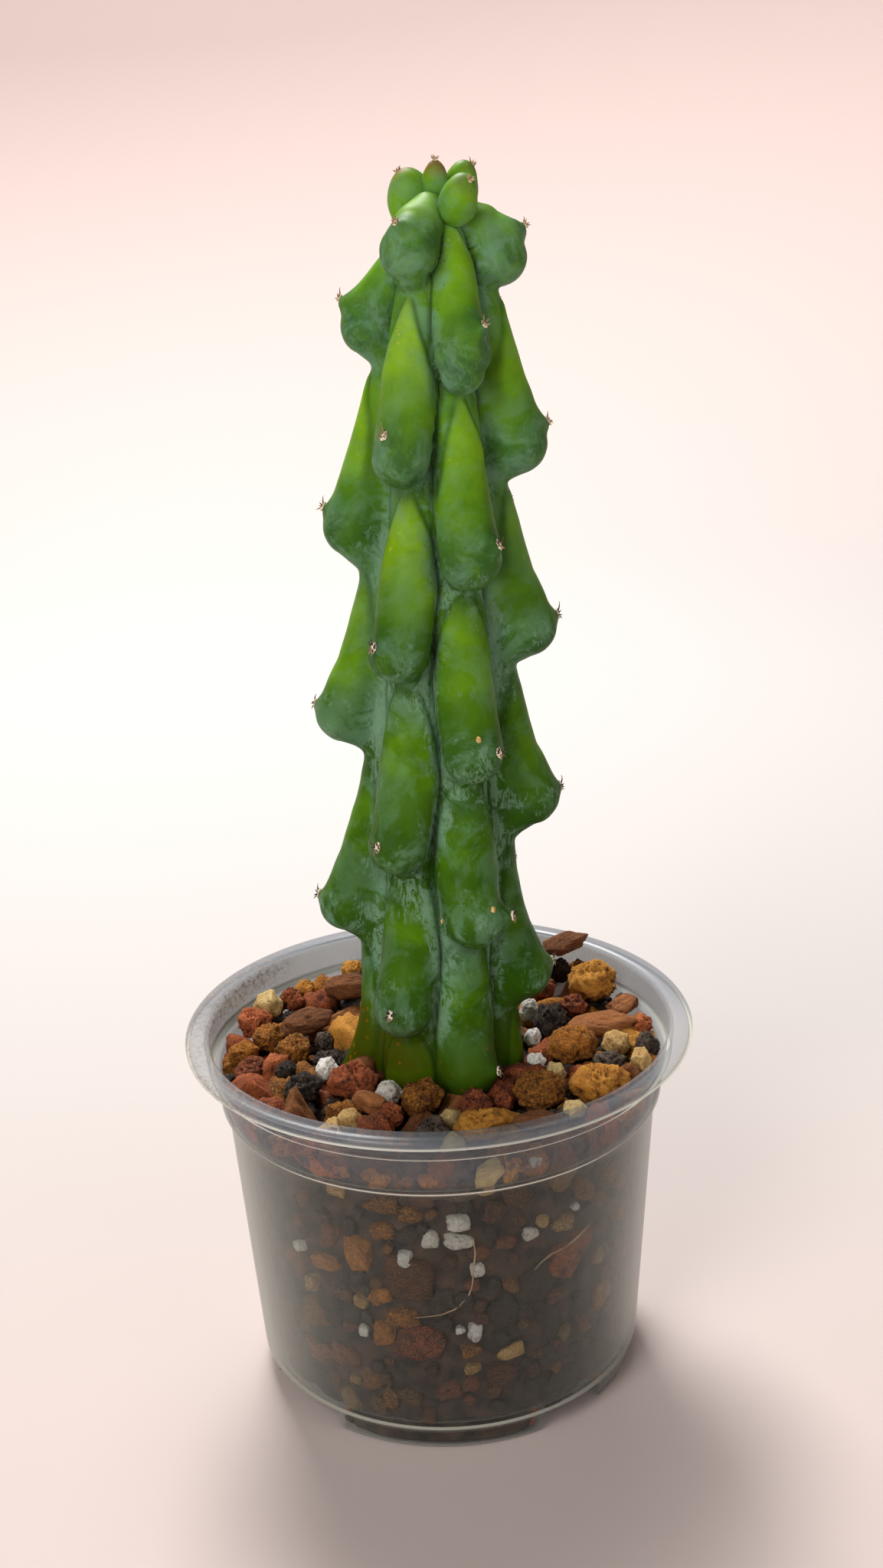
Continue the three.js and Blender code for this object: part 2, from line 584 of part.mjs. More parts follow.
// Grit that is part of the bed: rough stones on a sunflower spiral, half sunk in its top, where no
// loose stone lies
function grit(stones) {
  const random = randomFrom(GRIT_SEED);
  const pieces = [];
  const golden = Math.PI * (3 - Math.sqrt(5));
  const count = Math.round((MOUTH_RADIUS / GRIT_SIZE) ** 2 * 3.1);
  for (let i = 0; i < count; i += 1) {
    const distance = (MOUTH_RADIUS - 1) * Math.sqrt((i + 0.5) / count);
    const [x, y] = [distance * Math.cos(i * golden), distance * Math.sin(i * golden)];
    const size = GRIT_SIZE * (0.75 + 0.5 * random());
    const half = [size / 2, (size / 2) * (0.7 + 0.3 * random()), (size / 2) * (0.6 + 0.3 * random())];
    const z = bedLevel(x, y) + 0.1 * size * random();
    const turn = 360 * random();
    const shape = random();
    const covered = stones.some((stone) => {
      const [dx, dy] = [x - stone.x, y - stone.y];
      return Math.hypot(dx, dy) < span(stone, dx, dy) + 0.15 * size;
    });
    if (distance > along(WAIST, SOIL_LEVEL) && !covered) {
      pieces.push(stoneHull({ x, y, z, half, turn, shape }, 0, 9));
    }
  }
  return wasm.Manifold.union(pieces);
}

// The bed fills the pot to the level, with sockets for the stem and for each loose stone
function bed(stem, stones) {
  const lid = new THREE.BoxGeometry(4 * RIM_RADIUS, 4 * RIM_RADIUS, POT_HEIGHT);
  lid.translate(0, 0, POT_HEIGHT / 2).rotateX(Math.atan(BED_SLOPE));
  lid.translate(0, 0, BED_FRONT_LEVEL + BED_SLOPE * BED_EDGE);
  const room = cavity(GAP);
  const mound = new THREE.SphereGeometry(1, 12, 8).rotateX(Math.PI / 2);
  mound.scale(MOUND.spread * 1.2, MOUND.spread * 1.2, MOUND.rise + 3);
  mound.translate(MOUND.x - 2, MOUND.y - 2, bedLevel(MOUND.x, MOUND.y) - MOUND.rise - 3);
  const ground = wasm.Manifold.union([room.subtract(solidOf(lid)), solidOf(mound), grit(stones)]);
  const sockets = stones.map((stone) => stoneHull(stone, GAP + 0.1, STONE_CORNERS));
  return ground.intersect(room).subtract(wasm.Manifold.union([stem, ...sockets]));
}

const model = new THREE.Group();
const stones = settledStones();
model.add(meshOf("pot", pot(), "pot"));
model.add(meshOf("cactus_stem", cactusStem(), "cactus"));
model.add(meshOf("grit_bed", bed(stemSocket(), stones), "bed"));
const counts = {};
for (const stone of stones) {
  counts[stone.kind] = (counts[stone.kind] ?? 0) + 1;
  const name = `${stone.kind}_${counts[stone.kind]}`;
  model.add(meshOf(name, stoneHull(stone, 0, STONE_CORNERS), stone.kind));
}

export default model;
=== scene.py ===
"""A potted column cactus with large rounded tubercles, in a clear nursery pot of mixed grit.

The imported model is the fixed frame. Each class makes one part of the plant, its pot or its grit as
surfaces worked out on grids, and dresses it. Lengths are millimetres until a mesh is made, which is in
metres. -Y is the front, and an azimuth is in degrees from -Y, positive towards +X. FEET holds the
azimuths of the middles of the pot's four feet, and WAVES is how many plane waves make a random field.
"""

import logging
from dataclasses import dataclass, field
from enum import Enum
from typing import Any, Sequence

import bpy
import numpy as np
from mathutils import Matrix, Vector


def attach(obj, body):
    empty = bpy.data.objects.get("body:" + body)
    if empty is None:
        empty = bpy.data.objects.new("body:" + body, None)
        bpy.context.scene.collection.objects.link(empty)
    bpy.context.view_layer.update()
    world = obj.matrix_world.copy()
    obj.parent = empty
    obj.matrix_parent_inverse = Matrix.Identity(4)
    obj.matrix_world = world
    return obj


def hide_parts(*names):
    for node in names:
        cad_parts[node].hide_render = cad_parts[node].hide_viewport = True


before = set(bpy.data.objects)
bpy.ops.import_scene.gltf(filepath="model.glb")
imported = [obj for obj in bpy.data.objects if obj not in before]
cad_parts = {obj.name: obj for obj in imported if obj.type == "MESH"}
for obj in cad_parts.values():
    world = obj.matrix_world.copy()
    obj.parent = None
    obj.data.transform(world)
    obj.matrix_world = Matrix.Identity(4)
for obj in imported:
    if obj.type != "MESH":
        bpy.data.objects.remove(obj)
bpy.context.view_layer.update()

Array = np.ndarray
Socket = bpy.types.NodeSocket
MM = 0.001
FEET = (-4.5, 83.5, 169, 255)
WAVES = 16
LOG = logging.getLogger("potted_cactus")


def polar(azimuth: Any, distance: Any, height: Any) -> Array:
    """Places points round the pot's axis.

    Args:
        azimuth: degrees from -Y towards +X.
        distance: distance from the axis.
        height: height above the table.

    Returns:
        The points, with x, y and z on the last axis.
    """
    turn = np.radians(azimuth)
    parts = np.broadcast_arrays(distance * np.sin(turn), -distance * np.cos(turn), height)
    return np.stack(parts, -1).astype(float)


def unit(vectors: Array) -> Array:
    """Vectors of length one that point the same way."""
    return vectors / np.maximum(np.linalg.norm(vectors, axis=-1, keepdims=True), 1e-9)


def smooth(value: Any, start: float, end: float) -> Array:
    """A soft step: zero up to start, one from end, and 3t^2 - 2t^3 between them."""
    share = np.clip((np.asarray(value, float) - start) / (end - start), 0, 1)
    return share * share * (3 - 2 * share)


def apart(first: Any, second: Any) -> Array:
    """How far one azimuth is past another, from -180 to 180 degrees."""
    return (first - second + 180) % 360 - 180


def waves(points: Array, size: float, seed: int) -> Array:
    """A smooth random field: the sum of plane waves with random directions, lengths and phases.

    Args:
        points: places, with x, y and z on the last axis.
        size: the middle length of the waves.
        seed: the seed of the random draws.

    Returns:
        One value for each point, mostly from -1 to 1.
    """
    random = np.random.default_rng(seed)
    ways = unit(random.normal(size=(WAVES, 3)))
    turns = 2 * np.pi / (size * random.uniform(0.7, 1.5, WAVES))
    phases = random.uniform(0, 2 * np.pi, WAVES)
    return np.sin(points @ (ways * turns[:, None]).T + phases).sum(-1) * np.sqrt(0.9 / WAVES)


def linear(red: float, green: float, blue: float) -> tuple[float, float, float, float]:
    """A colour given as a screen shows it, 0 to 255, as the linear colour that shaders take."""
    shown = np.array([red, green, blue]) / 255
    low = shown <= 0.04045
    value = np.where(low, shown / 12.92, ((shown + 0.055) / 1.055) ** 2.4)
    return (*(float(v) for v in value), 1.0)


@dataclass
class Skin:
    """A closed surface: points, faces of three or four corners, and named values at the points.

    A face of three corners has -1 as its fourth.
    """

    points: Array
    faces: Array
    values: dict[str, Array] = field(default_factory=dict)

    def volume(self) -> float:
        """The enclosed volume, above zero where the faces point outwards."""
        a, b, c = (self.points[self.faces[:, k]] for k in range(3))
        total = np.einsum("ij,ij->i", a, np.cross(b, c)).sum()
        quads = self.faces[:, 3] >= 0
        a, c, d = (self.points[self.faces[quads, k]] for k in (0, 2, 3))
        return float(total + np.einsum("ij,ij->i", a, np.cross(c, d)).sum()) / 6

    @staticmethod
    def joined(skins: Sequence["Skin"]) -> "Skin":
        """Several surfaces as one, with their values side by side."""
        starts = np.cumsum([0] + [len(s.points) for s in skins[:-1]])
        faces = [np.where(s.faces >= 0, s.faces + start, -1) for s, start in zip(skins, starts)]
        names = skins[0].values
        values = {name: np.concatenate([s.values[name] for s in skins]) for name in names}
        return Skin(np.concatenate([s.points for s in skins]), np.concatenate(faces), values)


def ring_faces(rows: int, columns: int) -> Array:
    """Faces over rows of points that close on themselves, with a pole before and after them.

    The rows run down and the columns run towards larger azimuths, so the faces point out. The first
    pole has the index rows * columns, and the last pole the one after it.
    """
    index = np.arange(rows * columns).reshape(rows, columns)
    after = np.roll(index, -1, 1)
    quads = np.stack([index[:-1], index[1:], after[1:], after[:-1]], -1).reshape(-1, 4)
    none = np.full(columns, -1)
    first = np.stack([np.full(columns, rows * columns), index[0], after[0], none], -1)
    last = np.stack([np.full(columns, rows * columns + 1), after[-1], index[-1], none], -1)
    return np.concatenate([quads, first, last])


def ringed(rings: Array, first: Array, last: Array) -> Skin:
    """A closed surface over a grid of rings with a pole at each end."""
    points = np.concatenate([rings.reshape(-1, 3), [first], [last]])
    return Skin(points, ring_faces(*rings.shape[:2]))


def ball_ways(rings: int, around: int) -> Array:
    """Directions over a ball in the order that ring_faces takes: rings from the top, then the poles."""
    drop = np.pi * (np.arange(rings) + 1) / (rings + 1)
    turn = 2 * np.pi * np.arange(around) / around
    across = np.sin(drop)[:, None]
    parts = [across * np.cos(turn), across * np.sin(turn), np.cos(drop)[:, None] + 0 * turn]
    return np.concatenate([np.stack(parts, -1).reshape(-1, 3), [[0, 0, 1]], [[0, 0, -1]]])


def tube(path: Array, radii: Array, sides: int, tone: float) -> Skin:
    """A round tube along a path: a circle is carried along it, at right angles to its direction.

    Args:
        path: the points of the centreline.
        radii: the radius at each point.
        sides: corners of the circle.
        tone: the number that the points carry as their tone.

    Returns:
        The closed tube.
    """
    ahead = unit(np.gradient(path, axis=0))
    spare = np.array([0.31, 0.47, 0.83])
    side = unit(np.cross(ahead, spare))
    up = np.cross(ahead, side)
    turn = -2 * np.pi * np.arange(sides) / sides
    circle = side[:, None] * np.cos(turn)[:, None] + up[:, None] * np.sin(turn)[:, None]
    made = ringed(path[:, None] + circle * radii[:, None, None], path[0], path[-1])
    if made.volume() < 0:
        made.faces = np.where(made.faces[:, 3:] < 0, made.faces[:, [0, 2, 1, 3]], made.faces[:, ::-1])
    made.values = {"tone": np.full(len(made.points), tone)}
    return made


def linked(name: str, data: Any) -> bpy.types.Object:
    """A new object for a mesh, a light or a camera, in the scene."""
    made = bpy.data.objects.new(name, data)
    bpy.context.scene.collection.objects.link(made)
    return made


def piece(name: str, skin: Skin, material: bpy.types.Material,
          stands_for: Sequence[str] = ()) -> bpy.types.Object:
    """Makes a surface into a piece of the object that rides on the root body.

    Args:
        name: the piece's name.
        skin: its surface, in millimetres.
        material: its finish.
        stands_for: the CAD nodes that it replaces.

    Returns:
        The new object.
    """
    mesh = bpy.data.meshes.new(name)
    used = skin.faces >= 0
    sizes = used.sum(1)
    mesh.vertices.add(len(skin.points))
    mesh.vertices.foreach_set("co", (skin.points * MM).astype(np.float32).ravel())
    mesh.loops.add(int(sizes.sum()))
    mesh.loops.foreach_set("vertex_index", skin.faces[used].astype(np.int32))
    mesh.polygons.add(len(sizes))
    mesh.polygons.foreach_set("loop_start", (np.cumsum(sizes) - sizes).astype(np.int32))
    mesh.polygons.foreach_set("use_smooth", np.ones(len(sizes), bool))
    mesh.update(calc_edges=True)
    for label, values in skin.values.items():
        kind, key = ("FLOAT", "value") if values.ndim == 1 else ("FLOAT_VECTOR", "vector")
        mesh.attributes.new(label, kind, "POINT").data.foreach_set(
            key, values.astype(np.float32).ravel())
    mesh.validate()
    mesh.materials.append(material)
    made = linked(name, mesh)
    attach(made, "root")
    if stands_for:
        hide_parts(*stands_for)
    LOG.info("%s: %d triangles, %.1f ml", name, int((sizes - 2).sum()), skin.volume() / 1000)
    return made


class Nodes:
    """A material under construction, with short calls for the shader nodes that the finishes share."""

    def __init__(self, name: str) -> None:
        """Starts an empty node material with that name."""
        self.material = bpy.data.materials.new(name)
        self.material.use_nodes = True
        self.tree = self.material.node_tree
        self.tree.nodes.clear()
        self.place = self.add("ShaderNodeTexCoord").outputs["Object"]

    def add(self, kind: str, **settings: Any) -> bpy.types.Node:
        """Adds a node and sets its properties."""
        node = self.tree.nodes.new(kind)
        for name, value in settings.items():
            setattr(node, name, value)
        return node

    def feed(self, socket: Socket, value: Any) -> None:
        """Links a socket into another, or sets the other's own value."""
        if isinstance(value, bpy.types.NodeSocket):
            self.tree.links.new(value, socket)
        else:
            socket.default_value = value

    def value(self, name: str) -> Socket:
        """A named number that the mesh carries at its points."""
        return self.add("ShaderNodeAttribute", attribute_name=name).outputs["Fac"]

    def vector(self, name: str) -> Socket:
        """A named vector that the mesh carries at its points."""
        return self.add("ShaderNodeAttribute", attribute_name=name).outputs["Vector"]

    def scaled(self, source: Socket, scale: tuple[float, float, float],
               turn: tuple[float, float, float] = (0, 0, 0)) -> Socket:
        """A place stretched along its axes and turned."""
        node = self.add("ShaderNodeMapping")
        self.feed(node.inputs["Vector"], source)
        node.inputs["Rotation"].default_value = np.radians(turn).tolist()
        node.inputs["Scale"].default_value = scale
        return node.outputs["Vector"]

    def noise(self, size: float, detail: float = 3, roughness: float = 0.55,
              distortion: float = 0, source: Socket | None = None) -> Socket:
        """Cloudy noise whose blobs are about size millimetres wide."""
        node = self.add("ShaderNodeTexNoise")
        self.feed(node.inputs["Vector"], source or self.place)
        for name, value in (("Scale", 1 / (size * MM)), ("Detail", detail),
                            ("Roughness", roughness), ("Distortion", distortion)):
            node.inputs[name].default_value = value
        return node.outputs["Fac"]

    def cells(self, size: float, source: Socket | None = None) -> Socket:
        """Distances to scattered points that are about size millimetres apart."""
        node = self.add("ShaderNodeTexVoronoi")
        self.feed(node.inputs["Vector"], source or self.place)
        node.inputs["Scale"].default_value = 1 / (size * MM)
        return node.outputs["Distance"]

    def maths(self, operation: str, first: Any, second: Any, clamp: bool = False) -> Socket:
        """One step of arithmetic."""
        node = self.add("ShaderNodeMath", operation=operation, use_clamp=clamp)
        self.feed(node.inputs[0], first)
        self.feed(node.inputs[1], second)
        return node.outputs[0]

    def times(self, *factors: Any) -> Socket:
        """The product of several numbers."""
        result = factors[0]
        for factor in factors[1:]:
            result = self.maths("MULTIPLY", result, factor)
        return result

    def plus(self, *numbers: Any, clamp: bool = False) -> Socket:
        """The sum of several numbers, kept from 0 to 1 at the last step if clamp is set."""
        result = numbers[0]
        for index, number in enumerate(numbers[1:], 2):
            result = self.maths("ADD", result, number, clamp and index == len(numbers))
        return result

    def step(self, source: Socket, start: float, end: float, low: float = 0.0,
             high: float = 1.0) -> Socket:
        """A soft step from low at start to high at end."""
        node = self.add("ShaderNodeMapRange", interpolation_type="SMOOTHSTEP")
        for name, value in (("Value", source), ("From Min", start), ("From Max", end),
                            ("To Min", low), ("To Max", high)):
            self.feed(node.inputs[name], value)
        return node.outputs["Result"]

    def mix(self, share: Any, first: Any, second: Any) -> Socket:
        """A mix of two colours."""
        node = self.add("ShaderNodeMix", data_type="RGBA")
        for index, value in ((0, share), (6, first), (7, second)):
            self.feed(node.inputs[index], value)
        return node.outputs[2]

    def over(self, colour: Any, tint: Any, *shares: Any) -> Socket:
        """A colour with a tint laid over it by the product of the shares."""
        return self.mix(self.times(*shares), colour, tint)

    def bump(self, height: Socket, depth: float, strength: float) -> Socket:
        """A normal for relief of a depth in millimetres."""
        node = self.add("ShaderNodeBump")
        self.feed(node.inputs["Height"], height)
        node.inputs["Distance"].default_value = depth * MM
        node.inputs["Strength"].default_value = strength
        return node.outputs["Normal"]

    def principled(self, **inputs: Any) -> bpy.types.Node:
        """A principled shader; an underscore in a keyword stands for a space in a socket's name."""
        node = self.add("ShaderNodeBsdfPrincipled")
        for name, value in inputs.items():
            self.feed(node.inputs[name.replace("_", " ")], value)
        return node

    def blend(self, share: Socket, first: bpy.types.Node, second: bpy.types.Node) -> bpy.types.Node:
        """A mix of two shaders."""
        node = self.add("ShaderNodeMixShader")
        for index, value in enumerate((share, first.outputs[0], second.outputs[0])):
            self.feed(node.inputs[index], value)
        return node

    def finish(self, shader: Socket) -> bpy.types.Material:
        """Puts a shader on the output and gives back the material."""
        output = self.add("ShaderNodeOutputMaterial")
        self.feed(output.inputs["Surface"], shader)
        return self.material


@dataclass(frozen=True)
class CactusSkin:
    """Waxy skin: a yellow-green painted highlight on the upper slopes, painted shade under the bulbs, in
    the necks and in the creases, worn blue-grey bloom, an olive foot.
    """

    # The first colour is a painted highlight: the yellow-green of the upper slopes where the light falls.
    highlight_green: tuple = linear(138, 178, 6)
    young: tuple = linear(106, 156, 28)
    young_deep: tuple = linear(74, 124, 26)
    middle: tuple = linear(74, 118, 0)
    deep: tuple = linear(42, 80, 0)
    # shade and young_shade are painted shade: the dark greens laid under the bulbs, round the noses and
    # in the necks.
    shade: tuple = linear(38, 70, 18)
    young_shade: tuple = linear(48, 84, 54)
    film: tuple = linear(110, 150, 120)
    bloom: tuple = linear(112, 146, 118)
    olive: tuple = linear(66, 72, 2)
    speck: tuple = linear(206, 196, 50)
    rust: tuple = linear(160, 84, 18)
    # crease is painted shade: the dark green in the creases between ribs and along the lines round the
    # pears.
    crease: tuple = linear(24, 48, 14)
    blush: tuple = linear(140, 80, 50)

    def greens(self, n: Nodes, age: Socket, broad: Socket, patchy: Socket) -> Socket:
        """The green colours: mottled green, a painted highlight with flecks on the upper slopes, and
        painted shade under the bulbs and in the necks.
        """
        pairs = ((self.deep, self.young_deep), (self.middle, self.young), (self.shade, self.young_shade))
        low, high, shade = (n.mix(age, *pair) for pair in pairs)
        painted_highlight = n.value("painted_highlight")
        colour = n.mix(n.step(broad, 0.34, 0.68), low, high)
        # Painted highlight on the upper slopes, broken up by patches.
        colour = n.over(colour, self.highlight_green, painted_highlight, n.step(patchy, 0.26, 0.66, 0.45, 1.0))
        # Painted shade under the bulbs and round the noses.
        colour = n.over(colour, shade, n.value("under"), n.step(patchy, 0.3, 0.7, 0.3, 0.85))
        flecks = n.times(n.step(n.cells(1.5), 0.24, 0.1), n.step(n.noise(9, 2), 0.52, 0.62), painted_highlight)
        colour = n.over(colour, self.speck, flecks, 0.8)
        # Painted shade in the hollow necks beside the pears, in the shade colour.
        web_shade = n.times(n.value("web_shade"), n.step(broad, 0.3, 0.7, 0.2, 0.5), n.step(age, 0, 1, 1.0, 0.4))
        return n.mix(web_shade, colour, self.shade)

    def wax(self, n: Nodes, colour: Socket, age: Socket, fine: Socket, streaky: Socket) -> tuple:
        """The wax over the green: a thin film, a haze on young growth, and worn patches of bloom.

        Returns:
            The colour, and where the bloom lies, which is rougher.
        """
        bloomy = n.value("bloomy")
        thin = n.step(n.noise(11, 5, 0.7, 0.6), 0.45, 0.6, 0.0, 0.75)
        haze = n.step(n.noise(5.5, 4, 0.6, 0.6), 0.48, 0.62, 0.0, 0.9)
        colour = n.over(colour, self.film, bloomy, thin)
        colour = n.over(colour, self.film, age, haze, bloomy)
        islands = n.plus(n.noise(8, 5, 0.66, 0.9), n.times(bloomy, 0.2))
        patch = n.times(n.step(islands, 0.6, 0.7), n.step(age, 0.35, 1.0, 1.0, 0.3))
        worn = n.step(n.plus(streaky, n.times(bloomy, 0.1)), 0.52, 0.6)
        powder = n.step(fine, 0.25, 0.6, 0.5, 0.8)
        bloom = n.times(patch, worn, powder, n.step(bloomy, 0.1, 0.6, 0.4, 1.0))
        colour = n.mix(bloom, colour, self.bloom)
        pricks = n.times(n.step(n.cells(1.7), 0.2, 0.1), bloomy, n.step(n.noise(7, 2), 0.48, 0.58))
        return n.over(colour, self.deep, pricks, 0.8), bloom

    def aged_and_crease_shade(self, n: Nodes, colour: Socket, patchy: Socket) -> Socket:
        """The marks of age over all: an olive, rusty foot and blushing tips; then painted shade in the
        creases.
        """
        foot = n.value("foot")
        colour = n.over(colour, self.olive, foot, n.step(patchy, 0.25, 0.6, 0.5, 0.95))
        rust = n.times(foot, n.step(n.cells(2.6), 0.24, 0.12), n.step(n.noise(8, 2), 0.46, 0.56))
        colour = n.over(colour, self.rust, rust, 0.8)
        colour = n.over(colour, self.blush, n.value("blush"), n.step(patchy, 0.3, 0.6, 0.4, 0.9))
        # Painted shade in the creases.
        return n.mix(n.value("crease"), colour, self.crease)

    def material(self) -> bpy.types.Material:
        """The skin's material, on the values that the stem's surface carries."""
        n = Nodes("cactus_skin")
        broad = n.noise(15, 4, 0.6, 0.4)
        patchy = n.noise(5, 5, 0.65, 0.8)
        fine = n.noise(0.9, 4, 0.7)
        streaky = n.noise(2.4, 6, 0.72, 1.4, n.scaled(n.place, (1.8, 1.8, 0.5), (0, 32, 0)))
        age = n.value("young")
        colour, bloom = self.wax(n, self.greens(n, age, broad, patchy), age, fine, streaky)
        normal = n.bump(n.plus(n.times(fine, 0.25), n.times(streaky, 0.6)), 0.12, 0.5)
        rough = n.plus(n.times(bloom, 0.2), n.step(patchy, 0.3, 0.7, 0.4, 0.52))
        shader = n.principled(Base_Color=self.aged_and_crease_shade(n, colour, patchy), Roughness=rough, Normal=normal,
                              Specular_IOR_Level=0.06, Subsurface_Weight=0.03,
                              Subsurface_Radius=(0.3, 0.5, 0.05), Subsurface_Scale=0.003)
        return n.finish(shader.outputs[0])


class Grit(Enum):
    """The kinds of stone in the mix, named as the CAD nodes are."""

    OCHRE = "ochre_pumice"
    RED = "red_lava"
    BLACK = "black_lava"
    BARK = "brown_bark"
    PERLITE = "white_perlite"
    PEBBLE = "cream_pebble"


@dataclass(frozen=True)
class StoneFinish:
    """How one kind of stone looks and how rough its surface is.

    facets and sharpness shape it, lump and knob are relief in millimetres, and pores is how many
    pits it has, each pit_width wide as a share of the stone and pit_depth deep.
    """

    kind: Grit
    light: tuple
    middle: tuple
    dark: tuple
    facets: int
    sharpness: float
    lump: float
    knob: float
    pores: int
    pit_width: float
    pit_depth: float
    roughness: float = 0.9
    # dusk is the dark brown of the painted shade on stones behind the wall.
    shade_brown: tuple = linear(70, 60, 50)

    def material(self) -> bpy.types.Material:
        """The stone's material: its own tone, clouds of light and dark, dark pores, and painted shade in
        its pits and valleys.
        """
        n = Nodes(self.kind.value)
        stretch = (3.2, 3.2, 0.5) if self.kind is Grit.BARK else (1, 1, 1)
        source = n.scaled(n.vector("grain"), stretch)
        clouds = n.noise(3.2, 5, 0.62, 0.3, source)
        fine = n.noise(0.55, 4, 0.7, 0.2, source)
        tone = n.plus(n.times(n.value("tone"), 0.55), n.times(clouds, 0.75))
        colour = n.mix(n.step(tone, 0.38, 0.66), self.dark, self.middle)
        colour = n.mix(n.step(tone, 0.62, 0.92), colour, self.light)
        colour = n.mix(n.step(fine, 0.42, 0.66, 0.0, 0.6), colour, self.light)
        colour = n.mix(n.step(fine, 0.46, 0.3, 0.0, 0.5), colour, self.dark)
        holes = n.step(n.cells(0.75, source), 0.34, 0.12)
        speckle = n.times(holes, n.step(clouds, 0.3, 0.6), min(self.pores / 40, 1.0))
        # Dark pores, and painted shade in the pits and in the valleys between ridges.
        colour = n.mix(n.plus(n.times(speckle, 0.6), n.value("pit"), clamp=True), colour, self.dark)
        # Painted shade on the stones behind the wall.
        colour = n.over(colour, self.shade_brown, n.value("stone_shade"), 0.5)
        normal = n.bump(n.maths("SUBTRACT", fine, n.times(speckle, 0.8)), 0.8, 1.0)
        shader = n.principled(Base_Color=colour, Roughness=self.roughness, Normal=normal,
                              Specular_IOR_Level=0.3)
        return n.finish(shader.outputs[0])


FINISHES = {
    finish.kind: finish for finish in (
        StoneFinish(Grit.OCHRE, linear(214, 148, 58), linear(160, 94, 26), linear(74, 40, 12),
                    8, 26, 0.42, 0.46, 14, 0.1, 0.35),
        StoneFinish(Grit.RED, linear(200, 110, 64), linear(150, 76, 40), linear(62, 29, 18),
                    8, 24, 0.44, 0.5, 26, 0.1, 0.45),
        StoneFinish(Grit.BLACK, linear(104, 88, 76), linear(50, 40, 34), linear(14, 11, 9),
                    8, 20, 0.5, 0.58, 40, 0.12, 0.55),
        StoneFinish(Grit.BARK, linear(192, 122, 68), linear(132, 80, 44), linear(52, 30, 18),
                    6, 34, 0.24, 0.2, 4, 0.08, 0.3, 0.85),
        StoneFinish(Grit.PERLITE, linear(250, 247, 240), linear(232, 226, 214), linear(150, 138, 120),
                    10, 10, 0.4, 0.26, 12, 0.12, 0.3),
        StoneFinish(Grit.PEBBLE, linear(232, 204, 142), linear(200, 158, 92), linear(138, 98, 48),
                    8, 12, 0.26, 0.16, 4, 0.08, 0.15, 0.8),
    )
}


@dataclass(frozen=True)
class PlasticFinish:
    """Thin clear plastic: see-through, with a mirror-like skin, a milky veil, dust and scratches, painted
    highlight lines at the ledges, and painted shade on the back of the upper wall.
    """

    milk: tuple = linear(150, 153, 146)
    frost: tuple = linear(128, 134, 142)
    # cream is for a painted highlight: the pale lines along the ledges of the wall, where the steps catch
    # the light, over their thicker, milkier plastic.
    cream: tuple = linear(250, 246, 230)
    dust: tuple = linear(150, 120, 92)
    wall_veil: float = 0.009
    edge_veil: float = 1.15
    lip_veil: float = 0.17
    # back_shade_veil is painted shade: it makes the back of the upper wall milkier and greyer than the
    # front, though the plastic is the same all round.
    back_shade_veil: float = 0.3
    clear: tuple = (0.97, 0.98, 0.975, 1)
    gloss: float = 0.16

    def material(self) -> bpy.types.Material:
        """A mix of see-through, mirror and milk. Each wall has two faces, so the veil counts twice."""
        n = Nodes("clear_plastic")
        clouds = n.noise(16, 4, 0.6, 0.5)
        fine = n.noise(1.1, 5, 0.75, 0.3)
        lip, ledge_highlight = n.value("lip"), n.value("ledge_highlight")
        facing = n.add("ShaderNodeLayerWeight")
        facing.inputs["Blend"].default_value = 0.5
        turned = facing.outputs["Facing"]
        edge = n.times(n.maths("POWER", turned, 2.7), self.edge_veil, n.step(lip, 0, 1, 1.0, 0.25))
        cloudy = n.step(clouds, 0.3, 0.75, self.wall_veil * 0.5, self.wall_veil * 1.6)
        # The back of the upper wall gets painted shade as a stronger milky veil.
        behind = n.times(n.value("behind"), self.back_shade_veil)
        # The ledges add painted highlight lines over their milkier plastic.
        veil = n.plus(edge, cloudy, n.times(lip, self.lip_veil), behind, n.times(ledge_highlight, 0.9), clamp=True)
        specks = n.times(n.step(fine, 0.62, 0.75), n.step(n.noise(11, 3), 0.5, 0.7), 0.25)
        hairs = n.scaled(n.place, (9, 9, 0.7), (0, 12, 20))
        scratch = n.times(n.step(n.noise(1.6, 2, 0.5, 0, hairs), 0.68, 0.72), 0.16)
        marks = n.times(n.maths("MAXIMUM", specks, scratch), n.step(lip, 0.3, 0.0))
        veil = n.plus(veil, marks, clamp=True)
        dusty = n.times(n.value("dusty"), n.step(fine, 0.5, 0.68, 0.08, 0.9))
        veil = n.plus(veil, n.times(dusty, 0.6), clamp=True)
        colour = n.mix(dusty, n.mix(ledge_highlight, n.mix(lip, self.milk, self.frost), self.cream), self.dust)
        normal = n.bump(n.noise(22, 2), 0.3, 0.1)
        clear = n.add("ShaderNodeBsdfTransparent")
        clear.inputs["Color"].default_value = self.clear
        mirror = n.add("ShaderNodeBsdfGlossy")
        mirror.inputs["Roughness"].default_value = self.gloss
        n.feed(mirror.inputs["Normal"], normal)
        shine = n.plus(n.times(n.maths("POWER", turned, 5.0), 0.45), 0.006, clamp=True)
        body = n.principled(Base_Color=colour, Roughness=0.3, Normal=normal)
        return n.finish(n.blend(veil, n.blend(shine, clear, mirror), body).outputs[0])


def tinted(name: str, first: tuple, second: tuple, size: float,
           roughness: float) -> bpy.types.Material:
    """A plain matt finish whose colour runs between two by the points' tone, with cloudy noise."""
    n = Nodes(name)
    clouds = n.noise(size, 4, 0.65)
    share = n.plus(n.value("tone"), n.step(clouds, 0.3, 0.7, -0.3, 0.3), clamp=True)
    shader = n.principled(Base_Color=n.mix(share, first, second), Roughness=roughness,
                          Normal=n.bump(n.noise(size / 4, 3), size / 12, 0.8))
    return n.finish(shader.outputs[0])


@dataclass(frozen=True)
class Areole:
    """Where an areole sits on the skin, in millimetres, and the way that it points."""

    place: Array
    outward: Array
    size: float


